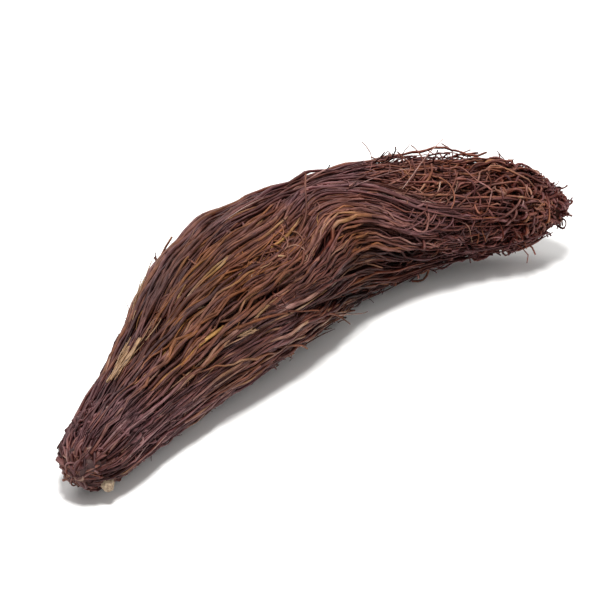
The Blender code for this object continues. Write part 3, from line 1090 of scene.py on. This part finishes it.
rootletFinish = {
    "cool": (  # purple-brown bark, greyer where its skin is thick
        (0.05, "#36181b"),
        (0.35, "#502c30"),
        (0.65, "#6b4445"),
        (0.86, "#856160"),
        (1.00, "#a1847f"),
    ),
    "warm": (  # red-brown to gold, where the skin is thin or rubbed off
        (0.05, "#421b0a"),
        (0.35, "#653415"),
        (0.65, "#875222"),
        (0.86, "#9e7740"),
        (1.00, "#b39a7c"),
    ),
    "wine": "#5c3032",  # the young bark towards the loose ends
    "bloom": "#9a8180",  # dust and a painted grey-pink highlight on the ridges
    "bloomMost": 0.38,
    "patch": 13.0 * mm,  # of the golden and the purple patches
    "streak": 6.0 * mm,  # of the colour along a rootlet
    "blotch": 4.2 * mm,  # of the soiled and the clean patches
    "blotches": (0.72, 1.26),  # how bright they are
    "glow": (1.60, 0.42, 0.20),  # painted bounce light: down between rootlets the painted shade is made redder, as light off other bark would make it
    "crease": 0.16,  # how dark the painted shade is between two rootlets
    "deep": 0.12,  # and the painted shade on those that lie low
    "roughness": (0.66, 0.42),  # in the wrinkles and on their ridges
    "wrinkleLength": 2.2,  # in mm
    "wrinkleBump": 0.10 * mm,
}


def makeRootletBark(name="dried rootlet bark", brightness=0.92):
    # papery dried bark: dull, with a faint waxy gloss on the ridges, wrinkled along its length
    material, shader, add = newMaterial(name)
    finish = rootletFinish
    marks = ("tint", "warmth", "wear", "reach", "facing", "height")
    marks = [add("Attribute", out="Fac", attribute_name=mark) for mark in marks]
    tint, warmth, wear, reach, facing, height = marks
    grain = add("Attribute", out="Vector", attribute_name="grain")
    place = add("TexCoord", out="Object")

    # its place on the colour ramps, with streaks along it
    own = add("Math", (tint, ownNoise), operation="MULTIPLY")
    streaks = add(
        "TexNoise",
        {"Vector": place, "W": own, "Scale": 1 / finish["streak"], "Detail": 3.0, "Roughness": 0.6},
        noise_dimensions="4D",
    )
    spread = add("MapRange", (streaks, 0.3, 0.7, -0.17, 0.17))
    key = add("Math", (tint, 0.88, spread), operation="MULTIPLY_ADD")

    # how golden it is: by its place on the clump, in patches, and each rootlet a little its own way
    patches = add("TexNoise", {"Vector": place, "Scale": 1 / finish["patch"], "Detail": 2.0})
    patchy = add("MapRange", (patches, 0.3, 0.7, -0.30, 0.30))
    odd = add("Math", (own,), operation="FRACT")
    odd = add("Math", (odd, 0.5, -0.25), operation="MULTIPLY_ADD")
    golden = add("Math", (warmth, patchy), operation="ADD")
    golden = add("Math", (golden, odd), operation="ADD", use_clamp=True)
    cool = addRamp(add, key, finish["cool"])
    warm = addRamp(add, key, finish["warm"])
    color = add("Mix", {0: golden, 6: cool, 7: warm}, out=2, data_type="RGBA")
    young = add("MapRange", (reach, 0.70, 0.96, 0.0, 0.30))
    color = add("Mix", {0: young, 6: color, 7: linear(finish["wine"])}, out=2, data_type="RGBA")

    stretched = add("VectorMath", (grain, (2.2, 2.2, 1 / finish["wrinkleLength"])), operation="MULTIPLY")
    wrinkles = add(
        "TexNoise",
        {"Vector": stretched, "W": own, "Scale": 1.0, "Detail": 4.0, "Roughness": 0.65},
        noise_dimensions="4D",
    )

    # dust and a painted highlight lie on the ridges that face out of the hank, less of them on golden bark
    ridge = add("MapRange", (facing, 0.45, 1.0))
    bare = add("MapRange", (golden, 0.0, 1.0, 1.0, 0.35))
    dustAndHighlightMix = add("MapRange", (wrinkles, 0.35, 0.65, 0.0, finish["bloomMost"]))
    for factor in (ridge, bare):
        dustAndHighlightMix = add("Math", (dustAndHighlightMix, factor), operation="MULTIPLY")
    color = add("Mix", {0: dustAndHighlightMix, 6: color, 7: linear(finish["bloom"])}, out=2, data_type="RGBA")

    # painted shade falls in the creases between rootlets and on the rootlets that lie low; the soiled and
    # clean patches lie at random
    crease = add("MapRange", (facing, -0.2, 0.8, finish["crease"], 1.0))
    # painted shade on the rootlets that lie low in the hank
    deep = add("MapRange", (height, -1.5, 1.8, finish["deep"], 1.05))
    low = add("Math", (crease, deep), operation="MULTIPLY", use_clamp=True)
    # painted bounce light: the shaded parts are tinted redder
    lit = add("MapRange", (low, 0.05, 0.7))
    glow = add("Mix", {0: lit, 6: (*finish["glow"], 1.0), 7: (1.0, 1.0, 1.0, 1.0)}, out=2, data_type="RGBA")
    soil = add(
        "TexNoise", {"Vector": place, "Scale": 1 / finish["blotch"], "Detail": 2.0, "Roughness": 0.6}
    )
    soiled = add("MapRange", (soil, 0.34, 0.66, *finish["blotches"]))
    shade = add("MapRange", (wrinkles, 0.3, 0.7, 0.45, 1.27))
    # the painted light and shade by region scales the brightness too
    for factor in (low, brightness, wear, soiled):
        shade = add("Math", (shade, factor), operation="MULTIPLY")
    color = add("VectorMath", (color, glow), operation="MULTIPLY")
    color = add("VectorMath", {0: color, "Scale": shade}, operation="SCALE")

    rough = add("MapRange", (wrinkles, 0.3, 0.7, *finish["roughness"]))
    relief = add("Bump", {"Strength": 0.9, "Distance": finish["wrinkleBump"], "Height": wrinkles})
    setInputs(shader, {"Base Color": color, "Roughness": rough, "Normal": relief})
    setInputs(shader, {"IOR": 1.5, "Specular IOR Level": 0.14})
    return material


innerFinish = {"stops": ((0.35, "#170a07"), (0.70, "#341b14")), "grain": 0.9 * mm}


def makeInnerBark():
    # the imported rootlets far down between the locks: the same bark, painted near-black as the shade there
    material, shader, add = newMaterial("packed inner rootlets")
    along = add("Mapping", {"Vector": add("TexCoord", out="Object"), "Scale": (0.12, 1.0, 1.0)})
    fibres = add("TexNoise", {"Vector": along, "Scale": 1 / innerFinish["grain"], "Detail": 3.0})
    color = addRamp(add, fibres, innerFinish["stops"])
    relief = add("Bump", {"Strength": 1.0, "Distance": 0.3 * mm, "Height": fibres})
    setInputs(shader, {"Base Color": color, "Normal": relief, "Roughness": 0.9, "Specular IOR Level": 0.08})
    return material


rhizomeFinish = {
    "stops": ((0.30, "#1d1011"), (0.52, "#3a2524"), (0.75, "#63504a")),
    "crust": 1.5 * mm,
    "scales": 0.5 * mm,
}


def makeRhizomeBark():
    # corky rhizome skin: dull purple-brown with greyer crusts, pitted and cracked
    material, shader, add = newMaterial("corky rhizome bark")
    place = add("TexCoord", out="Object")
    crust = add(
        "TexNoise", {"Vector": place, "Scale": 1 / rhizomeFinish["crust"], "Detail": 6.0, "Roughness": 0.7}
    )
    color = addRamp(add, crust, rhizomeFinish["stops"])
    scale = 1 / (3 * rhizomeFinish["scales"])
    cracks = add("TexVoronoi", {"Vector": place, "Scale": scale}, feature="DISTANCE_TO_EDGE")
    height = add("Math", (cracks, 0.6, crust), operation="MULTIPLY_ADD")
    relief = add("Bump", {"Strength": 0.9, "Distance": 0.25 * mm, "Height": height})
    setInputs(shader, {"Base Color": color, "Normal": relief, "Roughness": 0.78, "Specular IOR Level": 0.3})
    return material


brokenFinish = {"stops": ((0.30, "#56402f"), (0.70, "#b09c82")), "fibre": 0.5 * mm}


def makeBrokenWood():
    # the pale fibrous inside that shows where a shoot has snapped
    material, shader, add = newMaterial("broken root wood")
    place = add("TexCoord", out="Object")
    fibres = add("TexNoise", {"Vector": place, "Scale": 1 / brokenFinish["fibre"], "Detail": 4.0})
    color = addRamp(add, fibres, brokenFinish["stops"])
    relief = add("Bump", {"Strength": 0.8, "Distance": 0.1 * mm, "Height": fibres})
    setInputs(shader, {"Base Color": color, "Normal": relief, "Roughness": 0.8})
    return material


stripFinish = {
    "stops": ((0.34, "#4a2d1b"), (0.50, "#7e5d3e"), (0.68, "#ae8c68")),
    "fibre": 0.16,
    "stretch": 0.10,
}


def makeStripBark():
    # the pale split inside of a thick root: straw-coloured, with fine lengthwise fibres
    material, shader, add = newMaterial("split root strip")
    grain = add("Attribute", out="Vector", attribute_name="grain")
    along = add("VectorMath", (grain, (1.0, 1.0, stripFinish["stretch"])), operation="MULTIPLY")
    fibres = add("TexNoise", {"Vector": along, "Scale": 1 / stripFinish["fibre"], "Detail": 3.0})
    color = addRamp(add, fibres, stripFinish["stops"])
    relief = add("Bump", {"Strength": 0.5, "Distance": 0.05 * mm, "Height": fibres})
    setInputs(shader, {"Base Color": color, "Normal": relief, "Roughness": 0.55})
    return material


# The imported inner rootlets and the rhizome

def ringMesh(name, tubes, material):
    # each tube is a list of rings, closed at both ends
    mesh = bmesh.new()
    grain = mesh.verts.layers.float_vector.new("grain")
    for rings in tubes:
        made = [[mesh.verts.new(point) for point in ring] for ring in rings]
        walked = 0.0
        for at, ring in enumerate(made):
            centre = sum((vert.co for vert in ring), Vector()) / len(ring)
            if at:
                walked += (centre - before).length
            before = centre
            for vert, turn in zip(ring, cornerAngles(len(ring))):
                vert[grain] = (math.cos(turn), math.sin(turn), walked / mm)
        for low, high in zip(made, made[1:]):
            for corner in range(len(low)):
                beside = (corner + 1) % len(low)
                mesh.faces.new((low[corner], low[beside], high[beside], high[corner]))
        for ring in (made[0], made[-1]):
            pole = mesh.verts.new(sum((vert.co for vert in ring), Vector()) / len(ring))
            for corner in range(len(ring)):
                mesh.faces.new((ring[corner], ring[(corner + 1) % len(ring)], pole))
    bmesh.ops.recalc_face_normals(mesh, faces=mesh.faces)
    for face in mesh.faces:
        face.smooth = True
    data = bpy.data.meshes.new(name)
    mesh.to_mesh(data)
    mesh.free()
    data.materials.append(material)
    print(name, triangles(data), "triangles")
    return newObject(name, data)


packed = {
    "rings": 96,
    "sides": 80,
    "first": 0.02,
    "last": 1.05,
    "size": 0.95,
    "loose": 0.10,  # how much smaller they get at the loose end
    "ridge": 0.9 * mm,
}


def makePacked(material):
    rings = []
    for step in range(packed["rings"] + 1):
        share = packed["first"] + (packed["last"] - packed["first"]) * step / packed["rings"]
        size = packed["size"] - packed["loose"] * eased(0, 1, (share - 0.90) / 0.12)
        ring = []
        for angle in cornerAngles(packed["sides"]):
            twist = angle + 0.5 * math.sin(3 * share)
            ridges = noise.noise(Vector((math.cos(twist) * 9, math.sin(twist) * 9, share * 5)))
            ring.append(inHank(share, angle, packedSize(share) * size, ridges * packed["ridge"]))
        rings.append(ring)
    return ringMesh("packed_rootlets", [rings], material)


rhizome = {
    "rings": 64,
    "sides": 88,
    "first": 0.0005,
    "last": 0.17,
    "lump": 0.75 * mm,
    "lumpLength": 4.5 * mm,
    "bark": 0.32 * mm,
    "barkLength": 1.3 * mm,
    "scarSpacing": 0.021,
    "scarDepth": 0.3 * mm,
}


def makeRhizome(material):
    rings = []
    for t in spaced(rhizome["rings"]):
        share = between(rhizome["first"], rhizome["last"], t**1.5)
        closing = math.sqrt(max(0.0, 1 - max(0.0, (t - 0.85) / 0.16) ** 2))
        ring = []
        for angle in cornerAngles(rhizome["sides"]):
            base = onPacked(share, angle)
            lumps = noise.noise(base / rhizome["lumpLength"]) * rhizome["lump"]
            bark = noise.fractal(base / rhizome["barkLength"], 0.7, 2.1, 3) * rhizome["bark"]
            wobble = share + 0.006 * math.sin(2 * angle + 1) + 0.004 * noise.noise(base / (3 * mm))
            scar = math.cos(2 * math.pi * wobble / rhizome["scarSpacing"]) ** 4 * rhizome["scarDepth"]
            knob = 1 + 0.12 * max(0.0, 1 - share / hank["rhizomeShare"]) * math.sin(3 * angle)
            ring.append(inHank(share, angle, packedSize(share) * knob * closing, lumps + bark + scar))
        rings.append(ring)
    return ringMesh("rhizome", [rings], material)


def onKnob(polar, angle, out):
    # a place on the rhizome's blunt end; polar is 0 at its tip and a quarter turn at its widest ring
    share = hank["domeShare"] * (1 - math.cos(min(polar, math.pi / 2)))
    share += hank["domeShare"] * max(0.0, polar - math.pi / 2)
    return onPacked(share, angle, out), share


tipFibres = {
    "seed": 6,
    "count": 440,
    "radius": (0.15 * mm, 0.38 * mm),
    "reach": (0.3, 1.1),  # along the knob, in radians
    "furthest": 2.8,
    "sidewards": 0.55,
    "lift": (0.0 * mm, 1.0 * mm),
    "overLocks": 1.3 * mm,  # beyond the knob they lie on the long ones
    "steps": 9,
}


def tipFibre(rng, _):
    # a short rootlet that starts on the blunt end and lies back over it, across the others
    polar = tipFibres["furthest"] * rng.random() ** 0.8
    angle = rng.uniform(0, 2 * math.pi)
    # every way at the very tip and more along the hank further back
    heading = angle + rng.gauss(0, tipFibres["sidewards"]) * eased(3.0, 1.0, polar / 1.2)
    bend = rng.gauss(0, 0.7)
    reach = rng.uniform(*tipFibres["reach"])
    lift = rng.uniform(*tipFibres["lift"]) + eased(0, tipFibres["overLocks"], polar - 1.0)
    place = Vector((math.cos(angle), math.sin(angle))) * polar
    steps = tipFibres["steps"]
    points = []
    for t in spaced(steps):
        out = lift * math.sin(math.pi * t) - 0.25 * mm * (2 * t - 1) ** 4
        point, share = onKnob(place.length, math.atan2(place.y, place.x), out)
        points.append(point)
        heading += bend / steps
        place += Vector((math.cos(heading), math.sin(heading))) * (reach / steps)
    tint = held(rng.gauss(0.62, 0.25))
    return rootlet(points, rng.uniform(*tipFibres["radius"]), (0.9, 1.0, 0.7), tint, angle, (0.01, share))


snappedRoots = {"seed": 12, "count": 26, "radius": (0.30 * mm, 0.55 * mm), "length": (0.6 * mm, 1.6 * mm)}


def snappedRoot(rng, number):
    # a thicker root that has snapped short on the knob
    polar = 0.2 + 1.9 * number / snappedRoots["count"]
    angle = goldenAngle(number)
    foot = onKnob(polar, angle, -0.8 * mm)[0]
    length = rng.uniform(*snappedRoots["length"])
    tip, share = onKnob(polar + rng.uniform(0.1, 0.5), angle + rng.uniform(-0.4, 0.4), length)
    points = [foot.lerp(tip, t) for t in spaced(8)]
    girth = rng.uniform(*snappedRoots["radius"])
    return rootlet(points, girth, (1.2, 1.0, 0.85), rng.uniform(0.3, 0.75), angle, (share, share))


rootBases = {
    "seed": 5,
    "count": 120,
    "radius": (0.20 * mm, 0.44 * mm),
    "length": (6 * mm, 20 * mm),
    "steps": 18,
}


def rootBase(rng, number):
    # the thicker start of a root at the rhizome
    angle = goldenAngle(number) + rng.uniform(-0.1, 0.1)
    first = rng.uniform(0.0004, 0.02) if number % 3 else rng.uniform(0.02, 0.09)
    length = rng.uniform(*rootBases["length"]) / hank["length"]
    sway = rng.uniform(-0.25, 0.25)
    lift = rng.uniform(0.0, 0.5) * mm
    points = []
    for even in spaced(rootBases["steps"]):
        t = even**1.5
        out = -0.5 * mm + (0.5 * mm + lift) * math.sin(math.pi * min(t * 2.5, 1.0) / 2)
        points.append(onPacked(first + length * t, angle + sway * t * t, out))
    girth = rng.uniform(*rootBases["radius"])
    return rootlet(points, girth, (1.15, 0.95, 0.6), rng.uniform(0.05, 0.5), angle, (first, first + length))


bud = {
    "share": 0.035,
    "angle": math.radians(215),
    "length": 2.2 * mm,
    "radius": 1.3 * mm,
    "rings": 16,
    "sides": 28,
}


def makeBud(material):
    # the round broken stub of a side shoot
    foot = inHank(bud["share"], bud["angle"], 0.8)
    tip = inHank(bud["share"] * 0.7, bud["angle"], 1.0, bud["length"])
    along = (tip - foot).normalized()
    right = along.orthogonal().normalized()
    up = along.cross(right)
    rings = []
    for t in spaced(bud["rings"]):
        rounded = math.sqrt(max(0.02, 1 - (max(0.0, t - 0.45) / 0.56) ** 2))
        girth = bud["radius"] * rounded * eased(0.85, 1.0, t / 0.4)
        ring = []
        for turn in cornerAngles(bud["sides"]):
            flank = right * math.cos(turn) + up * math.sin(turn)
            point = foot.lerp(tip, t) + flank * girth
            rough = noise.fractal(point / (0.7 * mm), 0.8, 2.1, 3) * 0.12 * mm
            ring.append(point + flank * rough + along * rough)
        rings.append(ring)
    return ringMesh("shoot_bud", [rings], material)


barkStrips = {
    "seed": 31,
    "thickness": 0.14 * mm,
    "steps": 26,
    "sides": 12,
    "places": (  # share and angle at both ends, width, how high it lies and how far the far end stands off
        (0.140, 69, 0.222, 65, 1.3 * mm, 2.6 * mm, 0.1 * mm),
        (0.146, 71, 0.238, 74, 1.2 * mm, 2.5 * mm, 0.3 * mm),
        (0.328, 148, 0.358, 154, 0.8 * mm, 2.4 * mm, 0.3 * mm),
        (0.30, 40, 0.41, 25, 1.4 * mm, 2.4 * mm, 0.6 * mm),
        (0.55, 20, 0.63, 8, 1.1 * mm, 2.0 * mm, 0.5 * mm),
        (0.22, 330, 0.31, 318, 1.3 * mm, 1.7 * mm, 0.3 * mm),
    ),
}


def barkStrip(rng, place):
    # a pale strip where a thick root has split and dried flat
    width, lift, stand = place[4:]
    seed = anyWay(rng) * 30
    rings = []
    for t in spaced(barkStrips["steps"]):
        share, angle = onTheWay(place, t)
        sway = noise.noise_vector(Vector((t * 3, 0, 0)) + seed)
        out = lift + stand * t * t + sway.x * 0.3 * mm
        point = onPacked(share, angle + sway.y * 0.04, out)
        ahead = inHank(share + 0.004, angle, packedSize(share), out)
        outward = aboveHank(point, share)[1]
        aside = (ahead - point).cross(outward).normalized()
        twist = 0.5 * sway.z
        flat = aside * math.cos(twist) + outward * math.sin(twist)
        thick = outward * math.cos(twist) - aside * math.sin(twist)
        half = width / 2 * (0.12 + 0.88 * math.sin(math.pi * min(0.04 + t * 0.9, 0.5 + 0.3 * t)))
        ring = []
        for turn in cornerAngles(barkStrips["sides"]):
            curve = -0.25 * half * math.cos(turn) ** 2
            fold = 0.10 * mm * math.sin(5 * math.cos(turn) + 6 * t)
            deep = barkStrips["thickness"] * math.sin(turn) + curve + fold
            ring.append(point + flat * (half * math.cos(turn)) + thick * deep)
        rings.append(ring)
    return rings


stripFibres = {"seed": 3, "each": 6, "radius": (0.07 * mm, 0.14 * mm), "steps": 11}


def stripFibre(rng, place):
    # what has frayed off a pale strip
    width, lift, stand = place[4:]
    side = rng.uniform(-0.6, 0.6) * width
    splay = rng.gauss(0, 0.35) * width
    begin, stop = sorted(rng.uniform(-0.1, 1.1) for _ in range(2))
    stop = max(stop, begin + 0.45)
    rise = rng.uniform(0.0, 0.5) * mm
    points = []
    for step in range(stripFibres["steps"] + 1):
        t = begin + (stop - begin) * step / stripFibres["steps"]
        share, angle = onTheWay(place, t)
        out = lift + 0.15 * mm + stand * t * t + rise * t
        points.append(onPacked(share, angle + (side + splay * t * t) / meanRadius(share), out))
    points = frizzed(points, 0.0, 0.5 * mm, 5 * mm, anyNoise(rng))
    girth = rng.uniform(*stripFibres["radius"])
    return rootlet(points, girth, (0.7, 1.0, 0.5), 0.9, math.radians(place[1]), (place[0], place[2]))


def stripFibreRootlets():
    rng = random.Random(stripFibres["seed"])
    return [stripFibre(rng, place) for place in barkStrips["places"] for _ in range(stripFibres["each"])]


# The object

locks = makeLocks()
rootletBark = makeRootletBark()
hairBark = makeRootletBark("fine side root bark", 1.0)
stripBark = makeStripBark()
print("materials ready")

lockSides = (("lower_rootlets", 225, 330), ("front_rootlets", 150, 226), ("upper_rootlets", 70, 151))


def sideOf(lock):
    # the piece that a lock goes into, by the way that its middle faces
    turned = math.degrees(through(lock["angles"], 0.5)) % 360
    if lock["kind"] == "inner":
        return "loose_rootlets"
    for name, low, high in lockSides:
        if low < turned < high:
            return name
    return "back_rootlets"


groups = {side + "_rootlets": [] for side in ("lower", "upper", "front", "back", "loose")}
for number, lock in enumerate(locks):
    groups[sideOf(lock)] += lockRootlets(lock, number)
groups["loose_rootlets"] += drawn(strays, strayRootlet, locks, random.Random(strays["seed"] + 1))
groups["loose_rootlets"] += drawn(hooks, hookRootlet, random.Random(hooks["seed"] + 1))

sideRoots = drawn(hairs, hairRootlet, locks)
tips = drawn(tipFibres, tipFibre)
snapped = drawn(snappedRoots, snappedRoot)
pieces = [swept(name, strands, rootletBark) for name, strands in groups.items()]
pieces += [
    swept("under_rootlets", drawn(under, underRootlet), rootletBark, sides=4),
    swept("tangled_ends", drawn(tangle, tangledRootlet), rootletBark, kink=0.3, kinkLength=2.5),
    swept("broken_ends", drawn(brokenEnds, brokenEnd), rootletBark, sides=4, kink=0.3, kinkLength=2.5),
    swept("crossing_rootlets", crossingRootlets(), rootletBark, kink=0.5, kinkLength=3.5),
    swept("side_roots", sideRoots, hairBark, sides=3, kink=0.3, kinkLength=3.0, lumps=0.1),
    swept("pale_fibres", drawn(paleFibres, paleFibre), rootletBark, kink=0.3, lumps=0.1),
    swept("light_rootlets", drawn(lightRootlets, lightRootlet), rootletBark, kink=0.5),
    swept("root_bases", drawn(rootBases, rootBase), rootletBark, sides=7, kink=0.4, wrinkles=0.7),
    swept("tip_fibres", tips, rootletBark, sides=4, kink=0.5, kinkLength=1.8, lumps=0.5),
    swept("snapped_roots", snapped, rootletBark, sides=10, kink=0.5, kinkLength=2.0, wrinkles=0.9),
    makeBud(makeBrokenWood()),
    ringMesh("bark_strips", drawn(barkStrips, barkStrip), stripBark),
    swept("strip_fibres", stripFibreRootlets(), stripBark, sides=4, kink=0.2, lumps=0.2),
    makePacked(makeInnerBark()),
    makeRhizome(makeRhizomeBark()),
]

for piece in pieces:
    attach(piece, "root")
    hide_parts("rhizome_and_rootlets")
print("root clump ready:", len(pieces), "pieces")


# Floor, light and camera

stageSet = {"floorSize": 3.0, "floorColor": "#f4f3f1", "world": "#ffffff", "worldStrength": 0.42}


def makeFloor():
    material, shader, _ = newMaterial("matte paper floor")
    color = linear(stageSet["floorColor"])
    setInputs(shader, {"Base Color": color, "Roughness": 0.9, "Specular IOR Level": 0.1})
    half = stageSet["floorSize"] / 2
    corners = [(-half, -half, 0), (half, -half, 0), (half, half, 0), (-half, half, 0)]
    data = bpy.data.meshes.new("floor")
    data.from_pydata(corners, [], [(0, 1, 2, 3)])
    data.materials.append(material)
    newObject("floor", data)


def aim(thing, azimuth, elevation, distance, target=(0, 0, 0)):
    # stands back from the target in that direction and looks at it
    a, e = math.radians(azimuth), math.radians(elevation)
    back = Vector((math.sin(a) * math.cos(e), -math.cos(a) * math.cos(e), math.sin(e)))
    thing.location = Vector(target) + back * distance
    thing.rotation_mode = "QUATERNION"
    thing.rotation_quaternion = (-back).to_track_quat("-Z", "Y")


view = {"azimuth": -47, "elevation": 30, "distance": 0.60, "lens": 189, "target": (8 * mm, -6 * mm, 12 * mm)}


def makeCamera():
    data = bpy.data.cameras.new("camera")
    data.lens = view["lens"]
    data.clip_start = 0.01
    camera = newObject("camera", data)
    aim(camera, view["azimuth"], view["elevation"], view["distance"], view["target"])
    bpy.context.scene.camera = camera


lights = {  # azimuth and elevation from the clump, distance, size, power
    "key": (-46, 74, 0.7, 0.18, 5.6),
    "fill": (10, 40, 0.9, 0.6, 1.2),
    "back": (160, 50, 0.8, 0.4, 2.8),
}


def makeLights():
    for name, (azimuth, elevation, distance, size, power) in lights.items():
        data = bpy.data.lights.new(name, "AREA")
        data.shape = "DISK"
        data.size = size
        data.energy = power
        aim(newObject(name, data), azimuth, elevation, distance)
    world = bpy.data.worlds.new("studio")
    world.use_nodes = True
    sky = {"Color": linear(stageSet["world"]), "Strength": stageSet["worldStrength"]}
    setInputs(world.node_tree.nodes["Background"], sky)
    bpy.context.scene.world = world


makeFloor()
makeLights()
makeCamera()
bpy.context.scene.view_settings.view_transform = "Standard"
print("floor, light and camera ready")
